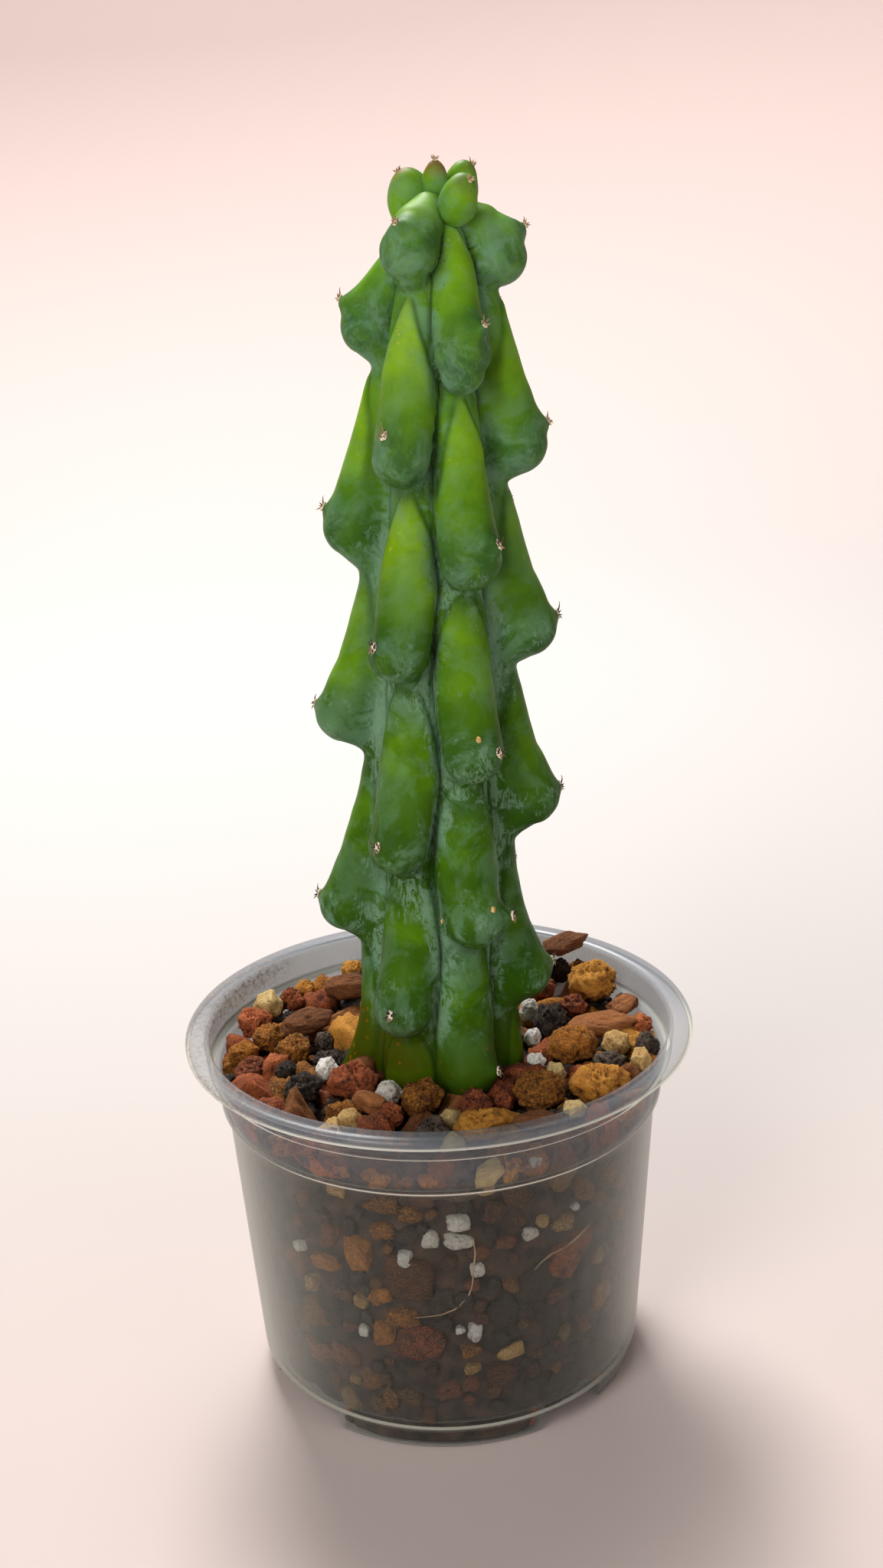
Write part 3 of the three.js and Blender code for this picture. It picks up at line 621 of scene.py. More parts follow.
@dataclass
class Stem:
    """The cactus: six ribs round a leaning axis, each with a chain of hanging tubercles.

    The surface is where a distance field is zero. A rib is a round column, and a tubercle on it is a
    chain of balls joined by cones, with a nose out to its areole. Ribs meet in creases. ribs gives
    each one's azimuth and its areoles: height, the azimuth that it points to, and its lift and sag.
    Tables pair a height with a value. Tubercles from upper_from up are young, and from crown_from up
    the youngest. Each bud has two balls (azimuth, distance, height, radius) and its areole's place.
    crease is a groove's width and depth, and rim the place, width and height of the fold beside it.
    pear_rise is how far a lit slope stands out, and pear_fold how deep the line round it is.
    """

    soil: float = 79.0
    foot: float = 62.0
    lean: float = 0.032
    crown_origin: float = 263.0
    crown_from: float = 262.0
    upper_from: float = 245.0
    core_share: float = 0.74
    rib_share: float = 0.46
    crease_fillet: float = 0.6
    nose_fillet: float = 2.4
    march_share: float = 0.85
    probe: float = 0.05
    crease: tuple = (0.55, 0.34)
    rim: tuple = (2.7, 0.6, 0.10)
    pear_rise: float = 0.5
    pear_fold: float = 0.22
    bud_rings: tuple = (34, 44)
    bud_taper: float = 0.07
    blushes: tuple = (0.15, 0.75, 0.7, 0.2)
    columns: int = 248
    rows: int = 376
    ribs: tuple = (
        (-87, ((254.5, -92, 1.1, 2.2), (210.7, -92, 0, 2.4), (166.5, -92), (120.4, -92), (76, -92))),
        (-25, ((270.3, -26), (228.5, -27), (185, -30), (141, -28), (100.5, -25), (60, -31))),
        (21, ((249.7, 27), (205.5, 29.5), (161.5, 26.5), (122.9, 34.5), (84, 31))),
        (84, ((268.1, 89, 1.3), (227.5, 89), (185.2, 89), (145.1, 89), (101.8, 89), (62, 89))),
        (147, ((252, 141), (208, 141), (164, 141), (121, 141), (80, 141))),
        (210, ((264.5, 213), (228, 216), (185, 216), (142, 216), (101, 216), (62, 216))),
    )
    front: tuple = (-25, 21)
    hang: tuple = ((110, 0), (160, 0.8), (205, 1.8), (228, 2.8), (270, 2.4))
    # How strongly each rib carries the painted highlight, in the order of the ribs: most on the ribs that
    # face the light.
    highlight_by_rib: tuple = (0.6, 1.0, 0.5, 0.3, 0.4, 0.5)
    apex: tuple = ((100, 0.84), (141, 0.76), (228, 0.68), (250, 0.5), (270, 0.4))
    young_pear: tuple = ((0, 6.5), (0.18, 6.2), (0.42, 5.5), (0.61, 4.4), (0.77, 2.8), (0.92, 1.4),
                         (1, 0.4))
    old_pear: tuple = ((0, 7.2), (0.2, 7.3), (0.42, 7), (0.64, 6.2), (0.81, 5.1), (0.95, 3.2), (1, 2))
    waist: tuple = ((60, 20), (79, 19.6), (92, 18.2), (134, 17), (175, 15.9), (217, 14), (242, 12.2),
                    (258, 10.6), (270, 7), (290, 2))
    reach: tuple = ((60, 22.5), (100, 26.2), (121, 27.8), (166, 27.4), (185, 26.4), (208, 25),
                    (228, 24), (252, 20.8), (270, 18.6))
    droop: tuple = ((160, 1.2), (190, 2), (208, 3.4), (228, 4.2), (250, 5), (270, 5.6))
    bulb: tuple = ((205, 6.6), (228, 6.2), (270, 6))
    fillet: tuple = ((180, 2.2), (230, 1.6), (260, 1.2))
    buds: tuple = (
        ((30, 8.8, 272.8, 4.1), (32, 9.6, 275.6, 3.9), (34, 12.4, 278.2)),
        ((-118, 5.4, 272.8, 4.9), (-114, 5.8, 276.0, 4.8), (-112, 8.6, 280.8)),
        ((180, 0.4, 275.6, 2.9), (180, 0.2, 279.6, 2.5), (0, 0.2, 282.4)),
        ((137, 7.2, 274, 3.9), (136, 8.2, 278, 3.8), (128, 10.4, 281.6)),
    )
    scars: tuple = ((19, 164.6, 0.75), (-39, 132.5, 0.8), (-41, 135.4, 0.5), (26, 125.2, 0.8),
                    (11, 188.7, 0.6), (9, 190.4, 0.45), (-24, 207, 0.45), (2, 120, 0.5), (-60, 236, 0.5))
    areoles: list[Areole] = field(default_factory=list)
    corks: list[Areole] = field(default_factory=list)

    @staticmethod
    def along(table: Sequence[tuple[float, float]], height: Any) -> Array:
        """The value of a table of (height, value) pairs, on straight lines between them."""
        return np.interp(height, *np.array(table, float).T)

    def leaned(self, points: Array) -> Array:
        """Points of the upright stem, moved over as the stem leans."""
        moved = np.array(points, float)
        moved[..., 0] += self.lean * (moved[..., 2] - self.soil)
        return moved

    def tubercle(self, azimuth: float, height: float, nose: float, lift: float = 0.0,
                 sag: float = 0.0) -> dict[str, Any]:
        """The balls of a tubercle, as (centre, radius), in the upright stem.

        Args:
            azimuth: where its rib stands.
            height: the height of its areole.
            nose: the azimuth that the areole points to.
            lift: how much higher its shoulder sits, for a young one.
            sag: how much lower its chin hangs.

        Returns:
            The cones of its body and nose, its bulb, the tip of its nose, and its height.
        """
        reach, droop = self.along(self.reach, height), self.along(self.droop, height)
        girth = self.along(self.bulb, height)
        hang = self.along(self.hang, height) if azimuth in self.front else 0.0
        slim = float(smooth(hang, 1.2, 2.6))

        def at(distance: float, rise: float) -> Array:
            """A ball's centre on the rib."""
            return polar(azimuth, distance, height + rise)

        tip = (polar(nose, reach - 1.3, height - 0.2), 1.2)
        start = (polar(azimuth + 0.35 * (nose - azimuth), reach - 5.2, height + 0.2), 4.0)
        bulb = (at(reach - 6.5, -droop - 0.2 * hang), girth)
        full = float(smooth(height, 200, 130))
        top = (at(reach - 15.7 - full, 28), 4.7 + 1.2 * full)
        slope = (at(reach - 11 - 0.8 * full, 8.5), 5.8 + 0.9 * full)
        drop = -droop - max(3.8 - hang, 2.2) - 1.1 * slim - sag
        chin = (at(reach - 11.6 + 1.4 * hang, drop), girth - 1.4 - 0.9 * slim)
        if height > self.crown_from:
            tip = (polar(nose, reach - 1.2, height - 0.5), 1.0)
            start = (at(reach - 3.8, lift - 2.8), 3.7)
            top, slope = (at(3.8, 1.4 + lift), 4.4), (at(reach - 9.6, lift - 1.3), 5.3)
            bulb = (at(reach - 5.9, -droop), girth)
            chin = (at(reach - 8.4 + 0.75 * hang, -droop - 1.2 - 1.35 * hang), 4.9 - 1.3 * slim)
        elif height > self.upper_from:
            start = (at(reach - 4.2, -1.2), 3.5)
            inner = azimuth not in self.front
            top = (at(3.5, 13 + lift), 3.6) if inner else (at(5.6, 17), 3.8)
            slope = (at(reach - 12.9, 4 + lift), 5.0) if inner else (at(reach - 12.3, 6), 5.3)
            chin = (at(reach - 10 + 1.3 * hang, -droop - 2.2 - 0.75 * hang - sag), 4.9)
        body = [(top, slope), (slope, bulb), (bulb, chin), (slope, start)]
        return {"body": body, "nose": (start, tip), "bulb": bulb, "tip": tip, "height": height}

    def __post_init__(self) -> None:
        """Works out the tubercles of each rib."""
        self.chains = [[self.tubercle(azimuth, *areole) for areole in areoles]
                       for azimuth, areoles in self.ribs]

    @staticmethod
    def to_cone(points: Array, cone: Any) -> Array:
        """The distance from points to two balls and the cone between them."""
        (start, first), (end, last) = cone
        way = end - start
        share = np.clip((points - start) @ way / (way @ way), 0, 1)
        gone = np.linalg.norm(points - start - share[:, None] * way, axis=1)
        return gone - first - (last - first) * share

    @staticmethod
    def blend(a: Array, b: Array, fillet: Any) -> Array:
        """The smaller of two distances, with a fillet where they are nearly equal."""
        share = np.clip(0.5 + 0.5 * (b - a) / fillet, 0, 1)
        return b + (a - b) * share - fillet * share * (1 - share)

    def field(self, points: Array) -> tuple[Array, Array]:
        """The stem's distance field.

        Args:
            points: places round the leaning stem, one to a row.

        Returns:
            The distance, below zero inside, and how much nearer the nearest rib is than the second.
        """
        upright = points.copy()
        z = points[:, 2]
        upright[:, 0] -= self.lean * (z - self.soil)
        waist = self.along(self.waist, z)
        thickness = self.rib_share * waist
        total = np.maximum(np.hypot(upright[:, 0], upright[:, 1]) - self.core_share * waist,
                           z - self.crown_origin + 1)
        nearest = []
        for (azimuth, _), chain in zip(self.ribs, self.chains):
            out = polar(azimuth, 1, 0)
            forward = upright @ out
            across = upright[:, 0] * out[1] - upright[:, 1] * out[0]
            own = np.hypot(forward - waist + thickness, across) - thickness
            own = np.maximum(own, z - self.crown_origin + 3)
            for one in chain:
                near = np.flatnonzero((z < one["height"] + 42) & (z > one["height"] - 24))
                if not len(near):
                    continue
                here = upright[near]
                body = np.min([self.to_cone(here, cone) for cone in one["body"]], axis=0)
                body = self.blend(body, self.to_cone(here, one["nose"]), self.nose_fillet)
                own[near] = self.blend(own[near], body, self.along(self.fillet, z[near]))
            nearest.append(own)
            total = self.blend(total, own, self.crease_fillet)
        ranked = np.sort(nearest, axis=0)
        return np.maximum(total, self.foot - z), ranked[1] - ranked[0]

    def rays(self, rows: int, columns: int) -> tuple[Array, Array]:
        """Starts and directions of rays from the axis.

        They fan out at the crown, dip along the column so that the undersides show, and fan in at
        the foot.
        """
        share = np.linspace(0, 1, rows)
        knots = (0, 0.17, 0.93, 1)
        height = np.interp(share, knots, (self.crown_origin, self.crown_origin - 4, 70, 66))
        dip = np.radians(np.interp(share, knots, (90, -22, -22, -90)))[:, None]
        azimuth = np.arange(columns) * 360 / columns
        ways = polar(azimuth, np.cos(dip), np.sin(dip))
        starts = np.zeros_like(ways)
        starts[..., 0] = self.lean * (height - self.soil)[:, None]
        starts[..., 2] = height[:, None]
        return starts, ways

    def march(self, starts: Array, ways: Array, travel: Array, steps: int) -> Array:
        """Walks in along rays from outside until they meet the skin, then corrects the last step.

        Args:
            starts: where the rays start, inside the stem.
            ways: their directions.
            travel: how far along each ray the walk begins, outside the stem.
            steps: the number of steps.

        Returns:
            How far along each ray the skin lies.
        """
        shape = travel.shape
        starts, ways, travel = starts.reshape(-1, 3), ways.reshape(-1, 3), travel.ravel().copy()
        moving = np.arange(len(travel))
        for _ in range(steps):
            gap = self.field(starts[moving] + ways[moving] * travel[moving, None])[0]
            travel[moving] = np.maximum(travel[moving] - self.march_share * gap, 0.3)
            moving = moving[gap > 0.004]
            if not len(moving):
                break
        for _ in range(2):
            here = self.field(starts + ways * travel[:, None])[0]
            outer = self.field(starts + ways * (travel + self.probe)[:, None])[0]
            travel -= np.clip(here / np.maximum((outer - here) / self.probe, 0.15), -0.4, 0.4)
        return travel.reshape(shape)

    def skin(self) -> Skin:
        """The skin on the grid of rays: a coarse grid finds it, and a fine one starts from that."""
        coarse = (self.rows // 4, self.columns // 4)
        starts, ways = self.rays(*coarse)
        rough = self.march(starts, ways, np.full(coarse, 42.0), 70)
        around = [np.roll(rough, k, 1) for k in (-1, 0, 1)]
        wide = np.max(around, axis=0)
        wide = np.max([wide, np.roll(wide, 1, 0), np.roll(wide, -1, 0)], axis=0)
        row = np.linspace(0, coarse[0] - 1, self.rows)
        column = np.arange(self.columns) * coarse[1] / self.columns
        low_row, low_column = np.floor(row).astype(int), np.floor(column).astype(int)
        next_row = np.minimum(low_row + 1, coarse[0] - 1)
        next_column = (low_column + 1) % coarse[1]
        corners = [wide[np.ix_(r, c)] for r in (low_row, next_row) for c in (low_column, next_column)]
        starts, ways = self.rays(self.rows, self.columns)
        travel = self.march(starts, ways, np.max(corners, axis=0) + 0.4, 40)
        grid = starts + ways * travel[..., None]
        return self.weathered(grid)

    def weathered(self, grid: Array) -> Skin:
        """Adds creases, folds and small unevenness to the grid, and the values that colour it: among them
        a painted highlight on the upper slopes and painted shade under the bulbs, in the necks and in the
        creases.
        """
        points = grid.reshape(-1, 3)
        down = np.gradient(grid, axis=0)
        along = np.roll(grid, -1, 1) - np.roll(grid, 1, 1)
        normal = unit(np.cross(down, along)).reshape(-1, 3)
        gap = self.field(points)[1]
        z = points[:, 2]
        below_crown = smooth(z, 272, 262)
        (wide, deep), (away, breadth, high) = self.crease, self.rim
        groove = np.exp(-(gap / wide) ** 2)
        rim = np.exp(-((gap - away - 0.5 * waves(points, 30, 3)) / breadth) ** 2)
        relief = 0.16 * waves(points, 16, 4) + 0.05 * waves(points, 4.5, 5)
        relief += below_crown * (high * rim * smooth(waves(points, 40, 6), -0.3, 0.4) - deep * groove)
        points = points + normal * relief[:, None]
        painted_highlight, under, web_shade, fold = (np.zeros(len(points)) for _ in range(4))
        near = np.full(len(points), 99.0)
        upright = grid.reshape(-1, 3).copy()
        upright[:, 0] -= self.lean * (z - self.soil)
        wander = 0.35 * waves(points, 17, 21)
        for (azimuth, _), chain, light in zip(self.ribs, self.chains, self.highlight_by_rib):
            heights = [one["height"] for one in chain]
            side = np.abs(upright @ polar(azimuth + 90, 1, 0))
            facing = smooth(upright @ polar(azimuth, 1, 0), 3, 9)
            for one, above in zip(chain, (heights[0] + 40, *heights)):
                rise = (z - one["height"]) / (above - one["height"])
                apex = float(self.along(self.apex, one["height"]))
                old = float(smooth(one["height"], 215, 150))
                width = (1 - old) * self.along(self.young_pear, rise / apex)
                width += old * self.along(self.old_pear, rise / apex) + wander
                neck = smooth(rise, 0.06, 0.24) * smooth(rise, apex, apex - 0.07) * facing
                # lit is the painted highlight on the upper part of each pear.
                lit = smooth(rise, 0, 0.6) * smooth(rise, apex + 0.05, apex - 0.06)
                if one["height"] > self.crown_from:
                    neck *= 0
                    lit = 0.6 * smooth(rise, -0.06, 0.08)
                inside = smooth(side - width, 0.5, -0.7)
                lit = lit * facing * light * smooth(side - width, 0.6, -1.6)
                painted_highlight = np.maximum(painted_highlight, lit)
                # The necks beside each pear get painted shade.
                web_shade = np.maximum(web_shade, neck * smooth(side - width, -0.2, 0.5))
                fold = np.maximum(fold, neck * np.exp(-((side - width) / 0.42) ** 2))
                points += normal * (self.pear_rise * neck * inside)[:, None]
                # low and under give the painted shade on the lower side of each bulb.
                low = smooth(rise, 0.16, -0.12) * smooth(rise, -0.5, -0.25)
                under = np.maximum(under, facing * low * smooth(side, 8.5, 5))
                near = np.minimum(near, np.linalg.norm(upright - one["tip"][0], axis=1))
        points -= normal * (self.pear_fold * fold)[:, None]
        # The painted highlight is kept mostly high on the stem.
        painted_highlight *= smooth(z, 150, 240) * 0.92 + 0.04
        hollow = smooth(gap, 5.0, 0.8)
        lower = smooth(z, 245, 130)
        bloomy = np.clip(0.14 + hollow * (0.3 + 0.6 * lower) + 0.14 * lower + 0.3 * under, 0, 1)
        bloomy *= smooth(z, 84, 97)
        foot = smooth(z + 2.5 * waves(points, 12, 8), 101, 86)
        # Painted highlight and painted shade are among these values; bloom, youth, foot and blush are the
        # skin's own colour.
        values = {
            "painted_highlight": painted_highlight * smooth(near, 3, 7),
            # Painted shade under each bulb and round its nose.
            "under": np.maximum(under, smooth(near, 6.5, 2.5) * 0.9),
            "bloomy": bloomy,
            "web_shade": web_shade,
            "young": smooth(z, 115, 268),
            # Painted shade in the creases between ribs and along the lines round the pears.
            "crease": np.maximum(np.exp(-(gap / 0.4) ** 2) * below_crown * 0.9, 0.45 * fold),
            "foot": foot * (0.3 + 0.7 * smooth(points[:, 0], 4, -8)),
            "blush": np.zeros(len(points)),
        }
        made = ringed(points.reshape(grid.shape), grid[0].mean(0), grid[-1].mean(0))
        made.values = {name: np.append(v, [v[0], v[-1]]) for name, v in values.items()}
        return made

    def egg(self, ends: Any) -> tuple:
        """A bud's middle, axis, radius and half length, and the place of its areole."""
        start, end, place = (self.leaned(polar(*row[:3])) for row in ends)
        axis, radius = end - start, (ends[0][3] + ends[1][3]) / 2
        return (start + end) / 2, axis, radius, radius + np.linalg.norm(axis) / 2, place

    def bud(self, ends: Any, blush: float) -> Skin:
        """An egg: a ball drawn out along its axis, a little fuller below than above."""
        middle, axis, radius, length, place = self.egg(ends)
        ways = ball_ways(*self.bud_rings)
        taper = 1 - self.bud_taper * ways[:, 2:]
        local = ways * np.concatenate([radius * taper, radius * taper, length + 0 * taper], 1)
        turn = np.array(Vector(axis.tolist()).to_track_quat("Z", "Y").to_matrix())
        points = middle + local @ turn.T
        points += 0.1 * waves(points, 6, 9)[:, None] * (ways @ turn.T)
        near = np.linalg.norm(points - place, axis=1)
        zeros = np.zeros(len(points))
        # A bud's top carries a painted highlight, and the skin round its areole carries painted shade.
        values = {"painted_highlight": 0.3 * smooth(ways[:, 2], -0.2, 0.8), "under": smooth(near, 4.2, 1.6) * 0.7,
                  "bloomy": zeros + 0.3, "crease": zeros, "foot": zeros, "web_shade": zeros + 0.3,
                  "young": zeros + 1, "blush": blush * smooth(near, 5.5, 1.5)}
        return Skin(points, ring_faces(*self.bud_rings), values)

    def find_areoles(self) -> None:
        """Finds each areole's place on the skin, by a walk in from outside its tubercle's nose."""
        for chain in self.chains:
            for one in chain:
                if one["height"] < self.soil + 3:
                    continue
                start, tip = self.leaned(one["bulb"][0]), self.leaned(one["tip"][0])
                outward = unit(tip - start)
                travel = self.march(start[None], outward[None], np.array([24.0]), 60)
                size = 0.75 if one["height"] > self.upper_from else 1.0
                self.areoles.append(Areole(start + outward * travel[0], outward, size))
        for ends in self.buds:
            middle, axis, radius, length, place = self.egg(ends)
            outward = unit(place - middle)
            along = outward @ unit(axis)
            out = 1 / np.sqrt((1 - along ** 2) / radius ** 2 + along ** 2 / length ** 2)
            self.areoles.append(Areole(middle + outward * (out - 0.1), outward, 0.62))
        for azimuth, height, size in self.scars:
            start, outward = self.leaned(polar(0, 0, height)), polar(azimuth, 1, 0)
            travel = self.march(start[None], outward[None], np.array([34.0]), 80)
            self.corks.append(Areole(start + outward * (travel[0] - 0.1), outward, size))

    def build(self) -> None:
        """Makes the skin with its buds."""
        buds = [self.bud(ends, blush) for ends, blush in zip(self.buds, self.blushes)]
        skin = Skin.joined([self.skin(), *buds])
        piece("cactus_skin", skin, CactusSkin().material(), ["cactus_stem"])
        self.find_areoles()


@dataclass
class Spines:
    """The areoles' felt cushions, with a few short spines each, dark ones above and pale ones below.

    fan gives each spine's turn from upwards, how dark it is, and its share of the length.
    """

    half_width: float = 0.72
    half_height: float = 1.15
    rise: float = 0.42
    length: float = 1.6
    root_radius: float = 0.23
    rings: tuple = (14, 22)
    fan: tuple = ((-12, 1, 1.35), (42, 0.9, 0.8), (82, 1, 0.8), (-58, 0.95, 0.8), (-100, 0.85, 0.8),
                  (150, 0.7, 0.8), (205, 0.3, 0.8))
    spread: float = 60.0
    seed: int = 31

    def frame_of(self, areole: Areole) -> tuple[Array, Array]:
        """The sideways and upward directions on the skin at an areole."""
        side = unit(np.cross([0, 0, 1], areole.outward))
        return side, np.cross(areole.outward, side)

    def cushion(self, areole: Areole, seed: int) -> Skin:
        """A lumpy flattened ball, taller than wide, half sunk in the skin."""
        side, up = self.frame_of(areole)
        ways = ball_ways(*self.rings)
        size = 1 + 0.16 * waves(ways, 0.7, seed) + 0.08 * waves(ways, 0.3, seed + 1)
        local = ways * size[:, None] * [self.half_width, self.half_height, self.rise] * areole.size
        points = areole.place + local @ np.array([side, up, areole.outward])
        tone = np.clip(0.2 + 0.5 * waves(ways, 0.8, seed + 2), 0, 1)
        return Skin(points, ring_faces(*self.rings), {"tone": tone})

    def spine(self, areole: Areole, turn: float, spread: float, length: float, tone: float) -> Skin:
        """A thin cone that bends a little towards its tip."""
        side, up = self.frame_of(areole)
        lean = up * np.cos(np.radians(turn)) + side * np.sin(np.radians(turn))
        share = np.linspace(0, 1, 7)[:, None]
        away = np.radians(spread) * (0.8 + 0.35 * share)
        root = areole.place + areole.outward * 0.25 + lean * 0.5
        path = root + length * share * (areole.outward * np.cos(away) + lean * np.sin(away))
        radii = self.root_radius * (1 - 0.85 * share[:, 0])
        return tube(path, radii, 7, tone)

    def build(self, areoles: Sequence[Areole], corks: Sequence[Areole]) -> None:
        """Makes the cushions as one piece, the corky scars as another, and all the spines as a third."""
        random = np.random.default_rng(self.seed)
        cushions = [self.cushion(areole, 3 * i) for i, areole in enumerate(areoles)]
        felt = tinted("areole_felt", linear(238, 226, 200), linear(134, 106, 78), 0.7, 0.95)
        piece("areole_felt", Skin.joined(cushions), felt)
        scars = [self.cushion(cork, 200 + 3 * i) for i, cork in enumerate(corks)]
        cork_finish = tinted("cork", linear(214, 186, 116), linear(150, 100, 44), 0.9, 0.9)
        piece("cork_scars", Skin.joined(scars), cork_finish)
        spines = []
        for areole in areoles:
            fresh = float(smooth(areole.outward[2], 0.3, 0.8))
            for turn, dark, share in self.fan:
                draw = random.uniform(-1, 1, 3)
                length = self.length * areole.size * (0.85 + 0.3 * draw[0]) * share
                spread = self.spread + 12 * draw[2] - 28 * fresh
                tone = dark * (1 - 0.7 * fresh)
                spines.append(self.spine(areole, turn + 16 * draw[1], spread, length, tone))
        horn = tinted("spine_horn", linear(190, 158, 116), linear(24, 18, 16), 2.0, 0.6)
        piece("spines", Skin.joined(spines), horn)


@dataclass
class Stones:
    """Grows single stones: a ball cut by rounded planes, with lumps, knobs and pits."""

    finishes: dict[Grit, bpy.types.Material]
    seed: int = 77

    @staticmethod
    def hull_radius(ways: Array, normals: Array, distances: Array, sharpness: float) -> Array:
        """How far a stone reaches along each direction.

        Its planes are blended as (sum of (n.u / d)^p)^(-1/p), so a high power p leaves sharp edges.
        """
        share = np.maximum(ways @ normals.T / distances, 0)
        return (share ** sharpness).sum(1) ** (-1 / sharpness)

    def grown(self, ways: Array, radius: Array, finish: StoneFinish, size: float,
              seed: int) -> tuple[Array, Array]:
        """Roughens a stone: adds relief to its radius, and sinks round pits into it.

        Args:
            ways: the directions from its centre, with its longest axis first.
            radius: how far it reaches along each.
            finish: the kind of stone.
            size: its middle radius in millimetres.
            seed: the seed of the random draws.

        Returns:
            The new radius, and the painted shade at each point, from 0 to 1: the larger of how deep it
            lies in a pit and how deep in a valley between ridges and crumbs.
        """
        random = np.random.default_rng(seed)
        around = ways * size * ((0.35, 1.3, 1.3) if finish.kind is Grit.BARK else (1, 1, 1))
        relief = finish.lump * (waves(around, 7.5, seed + 3) + 0.8 * waves(around, 3.6, seed))
        ridges = 1 - 1.7 * np.abs(waves(around, 2.4, seed + 1))
        crumbs = 0.7 - 1.7 * np.abs(waves(around, 1.1, seed + 2))
        relief += finish.knob * (0.55 * ridges + 0.6 * crumbs)
        centres = unit(random.normal(size=(finish.pores, 3)))
        widths = finish.pit_width * random.uniform(0.5, 1.6, finish.pores)
        gone = np.sqrt(np.maximum(2 - 2 * ways @ centres.T, 0)) / widths
        pit = np.max(np.clip(1.3 - gone, 0, 1) * np.minimum(1, widths / finish.pit_width), axis=1)
        pit = smooth(pit, 0, 0.8)
        grown = radius + np.minimum(1, size / 4) * (relief - finish.pit_depth * pit)
        # valley is painted shade in the hollows between ridges and crumbs.
        valley = 0.25 * smooth(-ridges, -0.1, 0.9) + 0.3 * smooth(-crumbs, 0, 1)
        return np.maximum(grown, 0.4 * size), np.maximum(pit, valley)

    def stone(self, ways: Array, faces: Array, centre: Array, axes: Array, finish: StoneFinish,
              seed: int, bounds: tuple[float, float] = (0.2, 0.95), stone_shade: float = 0.0) -> Skin:
        """A made-up stone.

        Args:
            ways: directions over a ball.
            faces: the faces over them.
            centre: where it lies.
            axes: its three half sizes, as rows of a 3 x 3 array that also turns it.
            finish: its kind.
            seed: the seed of the random draws.
            bounds: the range of its tone, from dark to light.
            stone_shade: how much its colour is darkened towards a dark brown, as painted shade on stones
                behind the wall.

        Returns:
            The stone, with tone, grain, pit and dull for its material.
        """
        random = np.random.default_rng(seed)
        normals = unit(random.normal(size=(finish.facets, 3)))
        normals = np.concatenate([normals, np.eye(3), -np.eye(3)])
        distances = random.uniform(0.72, 1.0, len(normals))
        radius = self.hull_radius(ways, normals, distances, finish.sharpness)
        size = float(np.linalg.norm(axes, axis=1).mean())
        radius, pit = self.grown(ways, radius * size, finish, size, seed)
        local = ways * (radius / size)[:, None]
        own = local * np.linalg.norm(axes, axis=1)
        return Skin(centre + local @ axes, faces, self.values(own, pit, seed, bounds, stone_shade))

    @staticmethod
    def values(local: Array, pit: Array, seed: int, bounds: tuple[float, float] = (0.2, 0.95),
               stone_shade: float = 0.0) -> dict[str, Array]:
        """What the stone's material reads: its own tone, its pits and valleys, which take painted shade,
        the painted shade of stones behind the wall, and its place in the noise.

        The place has the stone's longest axis last, which bark's grain runs along.
        """
        random = np.random.default_rng(seed + 500)
        tone = np.full(len(local), random.uniform(*bounds))
        grain = (local[:, ::-1] + random.uniform(-90, 90, 3)) * MM
        return {"tone": tone, "grain": grain, "pit": pit, "stone_shade": np.full(len(local), stone_shade)}


@dataclass
class LooseStones(Stones):
    """The stones that lie on the bed one by one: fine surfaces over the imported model's solids.

    slab makes bark flat: factors on its reach that pick its longest axis, and on its three axes.
    """

    rings: tuple = (34, 50)
    swell: float = 1.16
    slab: tuple = ((1, 1, 0.6), (1.34, 0.86, 0.7))

    @staticmethod
    def planes(mesh: bpy.types.Mesh) -> tuple[Array, Array, Array]:
        """A solid's centre, and the normal and distance of each of its flat sides."""

        def read(rows: Any, label: str) -> Array:
            """A vector of each vertex or side."""
            values = np.empty(len(rows) * 3, np.float32)
            rows.foreach_get(label, values)
            return values.reshape(-1, 3)

        points = read(mesh.vertices, "co").astype(float) / MM
        centre = (points.max(0) + points.min(0)) / 2
        normals = read(mesh.polygons, "normal").astype(float)
        distances = ((read(mesh.polygons, "center") / MM - centre) * normals).sum(1)
        _, first = np.unique(np.round(np.c_[normals * 40, distances * 5]), axis=0, return_index=True)
        return centre, normals[first], np.maximum(distances[first], 0.4)

    def build(self) -> None:
        """Makes one piece for each kind, in place of that kind's nodes."""
        ways, faces = ball_ways(*self.rings), ring_faces(*self.rings)
        plain = ((1, 1, 1), (1, 1, 1))
        for kind, finish in FINISHES.items():
            flat, slim = self.slab if kind is Grit.BARK else plain
            names = sorted(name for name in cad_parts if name.startswith(kind.value))
            skins = []
            for index, name in enumerate(names):
                seed = self.seed + 13 * index + len(kind.value)
                centre, normals, distances = self.planes(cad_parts[name].data)
                radius = self.hull_radius(ways, normals, distances, 30) * self.swell
                axes = np.linalg.svd(ways * radius[:, None] * flat, full_matrices=False)[2]
                radius, pit = self.grown(ways @ axes.T, radius, finish, float(radius.mean()), seed)
                local = (ways @ axes.T) * radius[:, None] * slim
                skins.append(Skin(centre + local @ axes, faces, self.values(local, pit, seed)))
            piece(f"{kind.value}_stones", Skin.joined(skins), self.finishes[kind], names)


def wall_radius(height: Any) -> Array:
    """The inner radius of the pot's wall at a height."""
    heights = (1, 6.1, 6.6, 70.7, 71.9, 80.6, 81.6, 87.4)
    return np.interp(height, heights, (43.4, 43.6, 45.3, 50.1, 51.5, 52.3, 53.9, 54.4))


def bed_level(points: Array) -> Array:
    """The height of the top of the grit: it rises to the back, with a mound behind on the right."""
    x, y = points[..., 0], points[..., 1]
    mound = 3.5 * np.exp(-((x - 36) ** 2 + (y - 30) ** 2) / (2 * 15 ** 2))
    return 75.5 + 0.045 * (y + 50) + mound


def held_in(skin: Skin, limit: Any) -> None:
    """Presses a stone flat where it would pass a distance from the axis."""
    distance = np.hypot(skin.points[:, 0], skin.points[:, 1])
    skin.points[:, :2] *= np.minimum(1, limit / np.maximum(distance, 1))[:, None]


